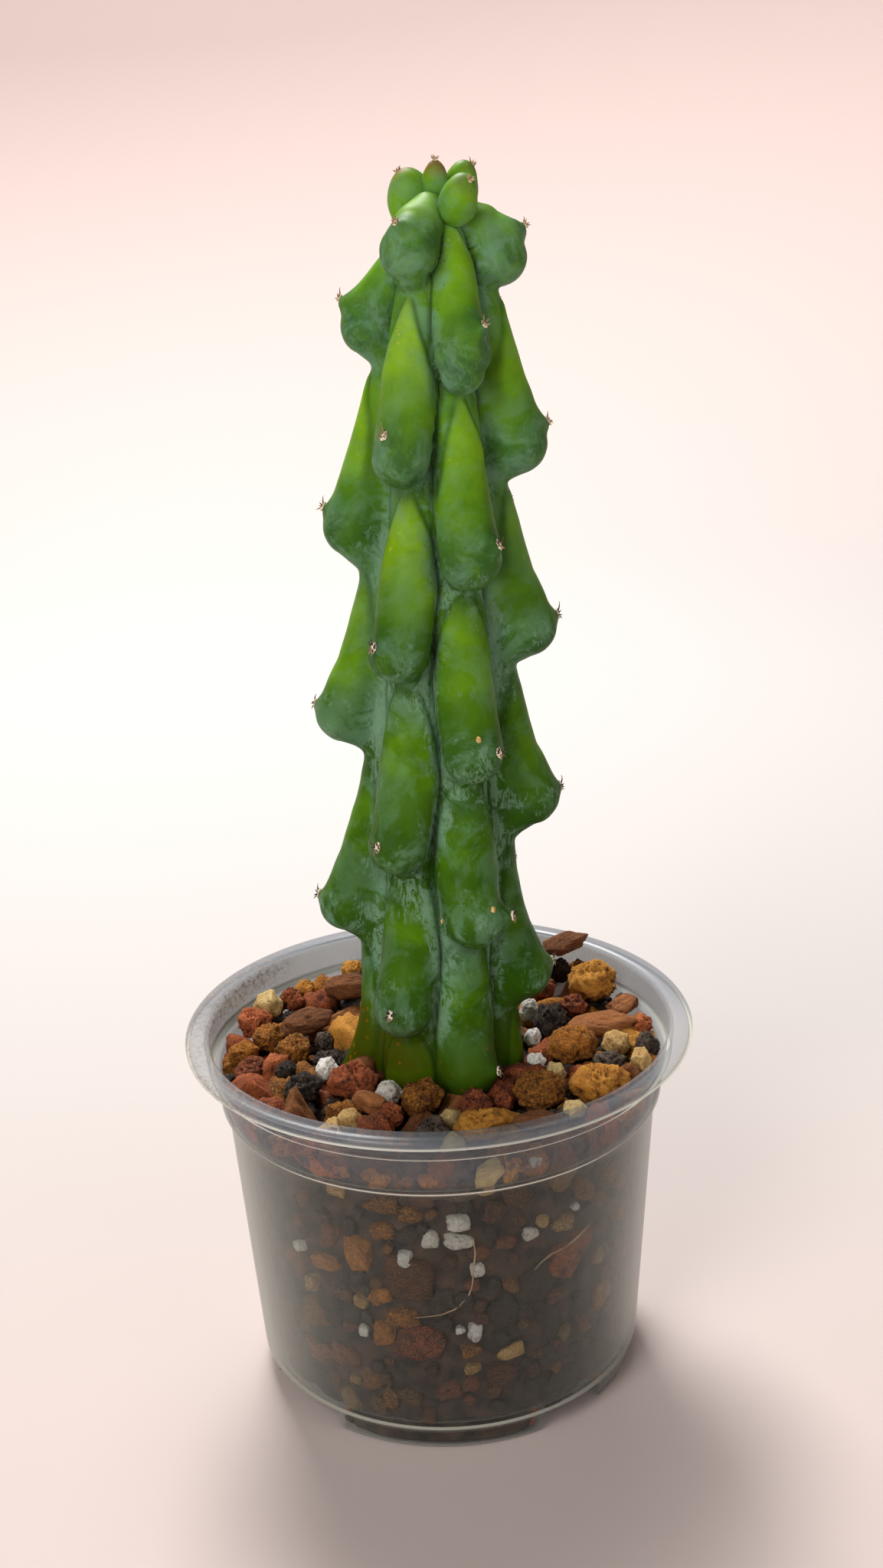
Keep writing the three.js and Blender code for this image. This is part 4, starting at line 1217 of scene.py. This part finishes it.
@dataclass
class GritBed(Stones):
    """The grit that fills the pot: dark fines, stones pressed against the wall, and small ones on top.

    seen gives the wall stones that the photo shows, each by azimuth, height, width and tallness.
    wall_sizes and top_sizes give the others: a size, how many tries, and how deep they lie.
    block_reach and block_height are the middle and half size of the fines in a foot. wall_thick is a
    wall stone's half depth, as a share of its size and millimetres more. wall_tilts are for drawn and
    seen stones, and wall_shades, for drawn, seen and white ones, darken them towards a dark brown as
    painted shade behind the wall; wall_tones, lower than a loose stone's, are painted shade as well.
    half turns a size into a half size.
    top_ring is the nearest and farthest that stones on top lie from the axis, and top_gap is the
    least room that one has, as a share of its size.
    """

    seed: int = 400
    wall_gap: float = 0.14
    wall_thick: tuple = (0.42, 0.6)
    wall_tilts: tuple = (35, 8)
    wall_tones: tuple = (-0.15, 0.5)
    white_tones: tuple = (0.5, 0.9)
    wall_shades: tuple = (1.3, 0.6, 0.75)
    half: float = 0.56
    slim: tuple = (1, 0.85, 0.72)
    bark_slim: tuple = (1.35, 0.6, 0.45)
    top_ring: tuple = (21, 54)
    top_gap: float = 0.22
    foot_half_angle: float = 30.5
    foot_radius: float = 43.75
    foot_heights: tuple = (0.56, 6.4)
    foot_stones: int = 190
    block_rings: tuple = (20, 60)
    block_reach: tuple = (34.4, 9.25)
    block_height: tuple = (3.75, 3.18)
    wall_rings: tuple = (11, 18)
    top_rings: tuple = (15, 24)
    wall_sizes: tuple = ((9.5, 60, 0.3), (6.5, 190, 0.6), (4.2, 520, 0.2), (2.8, 700, 0.1))
    top_sizes: tuple = ((12, 900, 1.8), (9, 1600, 1.5), (6.5, 2600, 1.3), (4.6, 3000, 1.4),
                        (3.2, 2000, 1.1))
    seen: dict = field(default_factory=lambda: {
        Grit.PERLITE: ((3, 62, 6.2, 4.9), (3, 57, 6.6, 4.6), (-4, 58, 4.3, 4.3),
                       (-11, 52, 3.4, 3.7), (8, 49, 3, 3.7), (7, 32, 3.4, 5.1), (3, 33, 2.1, 2),
                       (23, 56, 4, 3.3), (37, 59, 2.1, 1.7), (-25, 31, 2.7, 3.1), (-20, 3.4, 2.3, 1.9)),
        Grit.PEBBLE: ((10.5, 71, 5, 5), (33, 56, 6.4, 4), (27, 58, 3, 2.7), (6, 22, 4.2, 2.8),
                      (-25, 39, 4.1, 3.1), (-42, 39, 4.2, 4.2), (-29, 68, 4.9, 4), (17, 25, 6.2, 3.5)),
        Grit.OCHRE: ((-17, 66, 7.9, 4.3), (-9, 64, 5.3, 3.9), (-17, 59, 5.9, 4.3), (-24, 52, 6.2, 8),
                     (-35, 47, 9.2, 3.4), (-19, 41, 5.7, 5.1), (-14, 36, 9.1, 4.8), (-19, 31, 4.4, 6.2),
                     (6, 27, 4.8, 4.1), (-18, 13, 4.5, 5.3), (52, 63, 6, 5), (58, 50, 7, 6),
                     (50, 30, 6, 7), (62, 38, 8, 6)),
        Grit.BARK: ((-10, 47, 12.9, 11.4), (-17, 78, 11.4, 7.7), (15, 19, 7.9, 7)),
        Grit.RED: ((-9, 29, 13.9, 11), (37, 46, 12.8, 11.6), (0, 76, 7.7, 6.4), (-42, 20, 9.5, 6.4),
                   (-28, 76, 8.1, 5.9), (60, 22, 9, 8)),
    })
    shares: dict = field(default_factory=lambda: {
        Grit.BLACK: 0.36, Grit.RED: 0.26, Grit.BARK: 0.16, Grit.OCHRE: 0.15, Grit.PEBBLE: 0.05,
        Grit.PERLITE: 0.02})
    top_shares: dict = field(default_factory=lambda: {
        Grit.OCHRE: 0.3, Grit.BARK: 0.22, Grit.RED: 0.21, Grit.BLACK: 0.2, Grit.PEBBLE: 0.07})

    def fines(self) -> Skin:
        """The dark core: a drum just inside the wall stones, uneven all over."""
        heights = np.linspace(72, 7, 60)
        azimuth = np.arange(180) * 2.0
        side = polar(azimuth, wall_radius(heights)[:, None] - 1.7, heights[:, None])
        top = polar(azimuth, np.linspace(2, 49, 26)[:, None], 0.0)
        top[..., 2] = bed_level(top) - 3.2
        grid = np.concatenate([top, side])
        away = unit(grid * [1, 1, 0])
        rough = 0.5 * waves(grid, 7, self.seed) + 0.3 * waves(grid, 2.6, self.seed + 1)
        grid[:len(top), :, 2] += rough[:len(top)]
        grid[len(top):] += away[len(top):] * np.minimum(rough[len(top):], 0.9)[..., None]
        made = ringed(grid, np.array([0, 0, grid[0, :, 2].mean()]), np.array([0, 0, 7.0]))
        made.values = {"tone": np.clip(0.5 + 0.4 * waves(made.points, 5, self.seed + 2), 0, 1)}
        return made

    def wall_stone(self, place: tuple, kind: Grit, depth: float, seed: int) -> Skin:
        """A stone behind the wall, set back from it by depth, so a deeper one shows less.

        A seen stone has no depth and keeps more of its colour.
        """
        azimuth, height, width, tall = place
        random = np.random.default_rng(seed)
        thick = self.wall_thick[0] * min(width, tall) + self.wall_thick[1]
        centre = polar(azimuth, wall_radius(height) - thick * 0.72 - depth, height)
        most = self.wall_tilts[0 if depth else 1]
        tilt = np.radians(random.uniform(-most, most))
        out, side = polar(azimuth, 1, 0), polar(azimuth + 90, 1, 0)
        up = np.array([0, 0, 1.0])
        axes = np.array([(side * np.cos(tilt) + up * np.sin(tilt)) * width * self.half,
                         (up * np.cos(tilt) - side * np.sin(tilt)) * tall * self.half, out * thick])
        # Stones behind the wall take painted shade towards a dark brown; seen ones take less.
        drawn, shown, white = self.wall_shades
        bounds, stone_shade = self.wall_tones, drawn if depth else shown
        if kind is Grit.PERLITE:
            bounds, stone_shade = self.white_tones, white
        skin = self.stone(self.ways, self.faces, centre, axes, FINISHES[kind], seed, bounds, stone_shade)
        held_in(skin, wall_radius(skin.points[:, 2]) - self.wall_gap)
        return skin

    def build(self) -> None:
        """Makes the fines, and one piece for each kind of stone in the bed."""
        random = np.random.default_rng(self.seed)
        self.ways, self.faces = ball_ways(*self.wall_rings), ring_faces(*self.wall_rings)
        grown: dict[Grit, list[Skin]] = {kind: [] for kind in Grit}
        taken = []
        seed = self.seed
        for kind, places in self.seen.items():
            for place in places:
                seed += 1
                grown[kind].append(self.wall_stone(place, kind, 0.0, seed))
                taken.append(place)
        kinds, weights = list(self.shares), np.array(list(self.shares.values()))
        for size, wanted, depth in self.wall_sizes:
            for _ in range(wanted):
                seed += 1
                azimuth, height = random.uniform(-180, 180), random.uniform(9, 77)
                width, tall = size * random.uniform(0.75, 1.25, 2)
                gaps = [np.hypot(apart(azimuth, a) * 0.84, height - h)
                        - 0.42 * (max(width, tall) + max(w, t)) for a, h, w, t in taken]
                if min(gaps) < 0:
                    continue
                kind = kinds[random.choice(len(kinds), p=weights / weights.sum())]
                if kind is Grit.PERLITE and size > 4:
                    kind = Grit.BLACK
                place = (azimuth, height, width, tall)
                taken.append(place)
                deep = depth * random.uniform(0, 1.5)
                grown[kind].append(self.wall_stone(place, kind, deep, seed))
        LOG.info("wall stones: %d", len(taken))
        self.add_feet(grown, random)
        self.add_top(grown, random)
        fines = tinted("dark_fines", linear(70, 50, 38), linear(24, 18, 16), 2.2, 0.95)
        filled = Skin.joined([self.fines(), *self.foot_fines()])
        piece("dark_fines", filled, fines, ["grit_bed"])
        for kind, skins in grown.items():
            piece(f"{kind.value}_bed", Skin.joined(skins), self.finishes[kind])

    def foot_fines(self) -> list[Skin]:
        """A block of dark fines in each hollow foot: a rounded box, bent round the pot's axis."""
        ways = ball_ways(*self.block_rings)
        (reach, half_reach), (height, half_height) = self.block_reach, self.block_height
        box = ways * (np.abs(ways) ** 14).sum(1, keepdims=True) ** (-1 / 14)
        blocks = []
        for foot in FEET:
            points = polar(foot + self.foot_half_angle * box[:, 0], reach + half_reach * box[:, 1],
                           height + half_height * box[:, 2])
            tone = np.clip(0.5 + 0.4 * waves(points, 5, self.seed + 3), 0, 1)
            blocks.append(Skin(points, ring_faces(*self.block_rings), {"tone": tone}))
        return blocks

    def add_feet(self, grown: dict, random: np.random.Generator) -> None:
        """Small stones in the hollow feet."""
        kinds = list(self.shares)
        for index in range(self.foot_stones):
            foot = FEET[index % 4]
            azimuth = foot + random.uniform(-self.foot_half_angle, self.foot_half_angle)
            kind = kinds[random.choice(len(kinds), p=list(self.shares.values()))]
            size = random.uniform(2.0, 3.6)
            out, side = polar(azimuth, 1, 0), polar(azimuth + 90, 1, 0)
            axes = np.array([side * size * 0.62, [0, 0, size * 0.5], out * size * 0.5])
            centre = polar(azimuth, 43.8 - size * 0.55 - random.uniform(0, 1.0), random.uniform(2.0, 5.2))
            skin = self.stone(self.ways, self.faces, centre, axes, FINISHES[kind], 9000 + index)
            held_in(skin, self.foot_radius)
            skin.points[:, 2] = np.clip(skin.points[:, 2], *self.foot_heights)
            grown[kind].append(skin)

    def add_top(self, grown: dict, random: np.random.Generator) -> None:
        """Stones between the loose ones on top of the bed: big ones first, then ever smaller ones."""
        starts = tuple(kind.value for kind in Grit)
        names = [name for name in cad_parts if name.startswith(starts)]
        ways, faces = ball_ways(*self.top_rings), ring_faces(*self.top_rings)
        taken = []
        for name in names:
            corners = np.array([corner[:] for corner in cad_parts[name].bound_box]) / MM
            taken.append((*corners.mean(0)[:2], np.ptp(corners, axis=0)[:2].mean() / 2))
        kinds, weights = list(self.top_shares), list(self.top_shares.values())
        nearest, farthest = self.top_ring
        index = 0
        for size, tries, sink in self.top_sizes:
            for _ in range(tries):
                long = size * random.uniform(0.85, 1.15)
                distance = (farthest - 0.5 * long) * np.sqrt(random.uniform(0.12, 1))
                azimuth = random.uniform(-180, 180)
                centre = polar(azimuth, distance, 0.0)
                others = np.array(taken)
                gaps = np.hypot(others[:, 0] - centre[0], others[:, 1] - centre[1]) - others[:, 2]
                if gaps.min() < self.top_gap * long or distance < nearest:
                    continue
                taken.append((centre[0], centre[1], 0.42 * long))
                index += 1
                centre[2] = bed_level(centre) - sink + random.uniform(-0.5, 0.8)
                kind = kinds[random.choice(len(kinds), p=weights)]
                slim = np.array(self.bark_slim if kind is Grit.BARK else self.slim)
                turn = np.linalg.qr(random.normal(size=(3, 3)))[0]
                turn *= np.sign(np.linalg.det(turn))
                axes = turn * (long * self.half * slim * random.uniform(0.88, 1.1, 3))[:, None]
                skin = self.stone(ways, faces, centre, axes, FINISHES[kind], 5000 + index)
                held_in(skin, wall_radius(skin.points[:, 2]) - self.wall_gap)
                grown[kind].append(skin)
        LOG.info("top stones: %d", index)


@dataclass
class Pot:
    """The clear pot: one thin closed shell, turned round the axis, whose foot changes with azimuth.

    Profiles are (radius, height) corners. Where a foot stands the shell drops to the table, and
    between feet it stays up.
    """

    foot_half_angle: float = 31.5
    foot_slant: float = 3.5
    fillet: float = 0.35
    floor_in_foot: tuple = ((24.6, 6), (25, 0.5), (43.9, 0.5))
    floor_between: tuple = ((24.6, 6), (25, 6), (43.2, 6))
    shared: tuple = (
        (43.6, 7.1), (45.3, 7.5), (50.1, 70.7), (51.5, 71.9), (52.3, 80.6), (53.9, 81.6), (54.4, 87.4),
        (55, 88.2), (56, 88.6), (58.4, 88.6), (59.4, 88.3), (60, 87.5), (59.8, 86), (59.1, 86),
        (59, 87.3), (55.6, 87.3), (55.1, 81.4), (54.5, 80.8), (53.3, 80.2), (52.5, 71.5),
        (51.7, 70.9), (51.1, 70.3), (46.4, 6.6), (46, 6.1), (44.6, 6.1))
    under_foot: tuple = ((44.5, 0.6), (44, 0), (24, 0), (24, 5))
    under_between: tuple = ((44.6, 5), (44, 5), (24, 5), (23.6, 5))
    # Heights and widths of the bands that carry painted highlight lines along the ledges.
    ledges: tuple = ((6.1, 0.4), (70.9, 0.5), (80.8, 0.5), (86, 0.3))
    hole_radius: float = 3.5
    hole_circle: float = 34.0
    hole_height: float = 5.5
    pin_rise: float = 1.6

    def rounded(self, corners: Sequence[tuple[float, float]]) -> Array:
        """A profile with each corner turned into a small curve, and long sides split up.

        Profiles with equal numbers of corners come out with equal numbers of points.
        """
        corners = np.array(corners, float)
        rows = [corners[:1]]
        for before, corner, after in zip(corners, corners[1:], corners[2:]):
            into, out = corner - before, after - corner
            cut_in = min(self.fillet, 0.4 * np.linalg.norm(into)) * unit(into)
            cut_out = min(self.fillet, 0.4 * np.linalg.norm(out)) * unit(out)
            t = np.linspace(0, 1, 4)[:, None]
            rows.append((1 - t) ** 2 * (corner - cut_in) + 2 * t * (1 - t) * corner
                        + t ** 2 * (corner + cut_out))
        rows.append(corners[-1:])
        points = []
        for first, second in zip(rows, rows[1:]):
            points.extend(first)
            gap = np.linalg.norm(second[0] - first[-1])
            split = 30 if gap > 40 else 3
            points.extend(first[-1] + (second[0] - first[-1]) * k / split for k in range(1, split))
        return np.array([*points, corners[-1]])

    def azimuths(self) -> Array:
        """Columns all round, with closer ones at the feet's slanted sides."""
        steps = np.linspace(0, self.foot_slant, 7)
        edges = [foot + side * (self.foot_half_angle + steps) for foot in FEET for side in (-1, 1)]
        extra = np.concatenate(edges) % 360
        plain = np.arange(0, 360, 1.5)
        away = np.abs(apart(plain[:, None], extra)).min(1)
        return np.sort(np.concatenate([plain[away > 0.45], extra]))

    def shell(self) -> Skin:
        """The shell: each column of points is a blend of the foot's profile and the one between feet."""
        foot = self.rounded(((0, 6), *self.floor_in_foot, *self.shared, *self.under_foot, (0, 5)))
        between = self.rounded(
            ((0, 6), *self.floor_between, *self.shared, *self.under_between, (0, 5)))
        azimuth = self.azimuths()
        away = np.abs(apart(azimuth[:, None], np.array(FEET))).min(1)
        share = smooth(away, self.foot_half_angle, self.foot_half_angle + self.foot_slant)[None, :, None]
        profile = foot[1:-1, None] * (1 - share) + between[1:-1, None] * share
        grid = polar(azimuth, profile[..., 0], profile[..., 1])
        made = ringed(grid, np.array([0, 0, 6.0]), np.array([0, 0, 5.0]))
        z = made.points[:, 2]
        radius = np.hypot(made.points[:, 0], made.points[:, 1])
        # Bands at the ledges, for their painted highlight lines.
        bands = [np.exp(-((z - height) / width) ** 2) for height, width in self.ledges]
        outer = smooth(radius - wall_radius(z), 0.2, 0.7)
        made.values = {"lip": 0.85 * smooth(z, 71, 75) + 0.15 * smooth(z, 80.6, 83),
                       "ledge_highlight": np.max(bands, axis=0) * outer,
                       # The back of the upper wall is marked for its painted shade.
                       "behind": smooth(z, 71, 75) * smooth(made.points[:, 1], -12, 22),
                       "dusty": smooth(z, 82, 85) * smooth(made.points[:, 0], -34, -46)}
        return made

    def pierce(self, shell: bpy.types.Object) -> None:
        """Cuts the drain holes: one in the middle and one between each two feet."""
        middles = [(a + b) / 2 for a, b in zip(FEET, (*FEET[1:], FEET[0] + 360))]
        spots = [np.array([0, 0, self.hole_height]),
                 *polar(np.array(middles), self.hole_circle, self.hole_height)]
        pins = []
        for spot in spots:
            turn = np.arange(40) * np.pi / 20
            ring = np.stack([np.cos(turn), np.sin(turn), 0 * turn], -1) * self.hole_radius
            rings = np.stack([ring + spot + [0, 0, rise] for rise in (self.pin_rise, -self.pin_rise)])
            pins.append(ringed(rings, spot + [0, 0, self.pin_rise], spot - [0, 0, self.pin_rise]))
        pin = Skin.joined(pins)
        mesh = bpy.data.meshes.new("pins")
        faces = [[int(i) for i in face if i >= 0] for face in pin.faces]
        mesh.from_pydata((pin.points * MM).tolist(), [], faces)
        cutter = linked("pins", mesh)
        cut = shell.modifiers.new("drain", "BOOLEAN")
        cut.operation, cut.object, cut.solver = "DIFFERENCE", cutter, "EXACT"
        graph = bpy.context.evaluated_depsgraph_get()
        made = bpy.data.meshes.new_from_object(shell.evaluated_get(graph))
        shell.modifiers.clear()
        shell.data = made
        bpy.data.objects.remove(cutter)
        LOG.info("pierced pot: %d faces", len(made.polygons))

    def build(self) -> None:
        """Makes the pot in place of its node."""
        shell = piece("clear_pot", self.shell(), PlasticFinish().material(), ["pot"])
        self.pierce(shell)


@dataclass
class Roots:
    """Hair roots against the inside of the wall, each a list of (azimuth, height) that it passes."""

    radius: float = 0.24
    runs: tuple = (
        ((7, 58), (7.5, 54), (7, 50), (6.5, 46), (5.5, 42.5), (2, 39.5), (-2, 38), (-6, 37.4), (-9, 37)),
        ((42, 52), (38, 50.5), (33, 49.6), (29, 49), (26, 47.6), (24, 46)),
        ((118, 60), (124, 55), (126, 48), (133, 44), (141, 43)),
        ((-110, 40), (-116, 36), (-119, 29), (-127, 26)),
        ((190, 66), (186, 60), (188, 53), (180, 48), (176, 40)),
    )

    def build(self) -> None:
        """Makes the roots as one piece."""
        tubes = []
        for index, run in enumerate(self.runs):
            knots = np.array(run, float)
            share = np.linspace(0, len(run) - 1, 10 * len(run))
            azimuth, height = (np.interp(share, np.arange(len(run)), column) for column in knots.T)
            for row in (azimuth, height) * 6:
                row[1:-1] = (row[:-2] + 2 * row[1:-1] + row[2:]) / 4
            path = polar(azimuth, wall_radius(height) - self.radius - 0.05, height)
            path[:, 2] += 0.25 * waves(path, 7, 60 + index)
            radii = self.radius * np.interp(share, (0, 1, share[-1]), (0.6, 1, 0.35))
            tubes.append(tube(path, radii, 8, 0.3))
        pale = tinted("root", linear(180, 154, 118), linear(108, 80, 56), 6, 0.7)
        piece("hair_roots", Skin.joined(tubes), pale)


@dataclass
class Studio:
    """A pale floor that sweeps up behind, soft lights and the photo's camera.

    Lengths are metres here. Each light has a name, a place, a size, a power, a colour and a target.
    """

    place: tuple = (0.0029, -0.4133, 0.2874)
    dip: float = 0.328
    roll: float = -0.039
    lens: float = 43.945
    world_strength: float = 0.11
    # The floor is darker near the pot and pinker in front than far away: painted shade, which tones down
    # the pool of light round the pot and darkens the front.
    near: tuple = (linear(202, 188, 183), linear(194, 189, 186))
    far: tuple = linear(243, 221, 215)
    lights: tuple = (
        ("key", (-0.45, -0.78, 0.85), 0.45, 5.9, (1.0, 0.985, 0.96), (0, 0, 0.14)),
        ("back_left", (-0.2, 0.78, 1.15), 0.45, 21.0, (1.0, 0.99, 0.98), (0, 0, 0.14)),
        ("low_front", (-0.5, -1.0, 0.3), 0.5, 3.2, (1.0, 0.99, 0.98), (0, 0, 0.14)),
        ("fill", (0.9, -0.75, 0.5), 0.9, 2.2, (0.97, 0.98, 1.0), (0, 0, 0.14)),
        ("backdrop", (0, 0.9, 1.5), 0.8, 14.0, (1.0, 0.98, 0.97), (0, 1.6, 0.1)),
    )

    def floor(self) -> None:
        """A wide round dish: flat under the pot, with its far side curving up behind; its colour is
        painted darker near the pot as shade.
        """
        distance = np.concatenate([np.linspace(0.02, 0.8, 12), np.linspace(0.86, 2.4, 30)])
        rise = 1.5 * smooth(distance, 0.9, 3.1) * (distance / 2.4)
        azimuth = np.arange(96) * 3.75
        grid = polar(azimuth, distance[::-1, None], rise[::-1, None] - 0.0001)
        rows, columns = grid.shape[:2]
        quads = ring_faces(rows, columns)[:-2 * columns].tolist()
        middle = list(range(rows * columns))[:-columns - 1:-1]
        mesh = bpy.data.meshes.new("floor")
        mesh.from_pydata(grid.reshape(-1, 3).tolist(), [], [*quads, middle])
        mesh.polygons.foreach_set("use_smooth", np.ones(len(mesh.polygons), bool))
        n = Nodes("pale_floor")
        across = n.add("ShaderNodeSeparateXYZ")
        n.feed(across.inputs[0], n.place)
        away = n.add("ShaderNodeVectorMath", operation="LENGTH")
        n.feed(away.inputs[0], n.place)
        # Painted shade: darker near the pot, pinker in front.
        near = n.mix(n.step(across.outputs[1], -0.1, 0.25), *self.near)
        colour = n.mix(n.step(away.outputs["Value"], 0.7, 1.85), near, self.far)
        shader = n.principled(Base_Color=colour, Roughness=0.95, Specular_IOR_Level=0.1)
        mesh.materials.append(n.finish(shader.outputs[0]))
        linked("floor", mesh)

    def light(self, name: str, place: tuple, size: float, power: float, colour: tuple,
              target: tuple) -> None:
        """A soft square light that faces its target."""
        lamp = bpy.data.lights.new(name, "AREA")
        lamp.size, lamp.energy, lamp.color = size, power, colour
        made = linked(name, lamp)
        made.location = place
        aim = Vector(target) - Vector(place)
        made.rotation_euler = aim.to_track_quat("-Z", "Y").to_euler()

    def camera(self) -> None:
        """The photo's camera: it dips a little and is rolled by about two degrees."""
        up = Vector((0, np.sin(self.dip), np.cos(self.dip)))
        ahead = Vector((0, np.cos(self.dip), -np.sin(self.dip)))
        side = Vector((1, 0, 0))
        right = side * np.cos(self.roll) + up * np.sin(self.roll)
        top = up * np.cos(self.roll) - side * np.sin(self.roll)
        data = bpy.data.cameras.new("camera")
        data.lens, data.sensor_width, data.clip_start = self.lens, 36, 0.01
        made = linked("camera", data)
        made.matrix_world = Matrix((right, top, -ahead)).transposed().to_4x4()
        made.location = self.place
        bpy.context.scene.camera = made

    def build(self) -> None:
        """Sets up floor, lights, world and camera."""
        self.floor()
        for light in self.lights:
            self.light(*light)
        world = bpy.data.worlds.new("room")
        world.use_nodes = True
        sky = world.node_tree.nodes["Background"]
        sky.inputs["Color"].default_value = linear(235, 232, 232)
        sky.inputs["Strength"].default_value = self.world_strength
        scene = bpy.context.scene
        scene.world = world
        scene.view_settings.view_transform = "Standard"
        self.camera()


def main() -> None:
    """Builds the plant, its grit, its pot and the studio."""
    logging.basicConfig(level=logging.INFO, format="%(message)s")
    stem = Stem()
    stem.build()
    Spines().build(stem.areoles, stem.corks)
    finishes = {kind: finish.material() for kind, finish in FINISHES.items()}
    LooseStones(finishes).build()
    GritBed(finishes).build()
    Roots().build()
    Pot().build()
    Studio().build()


if __name__ == "__main__":
    main()
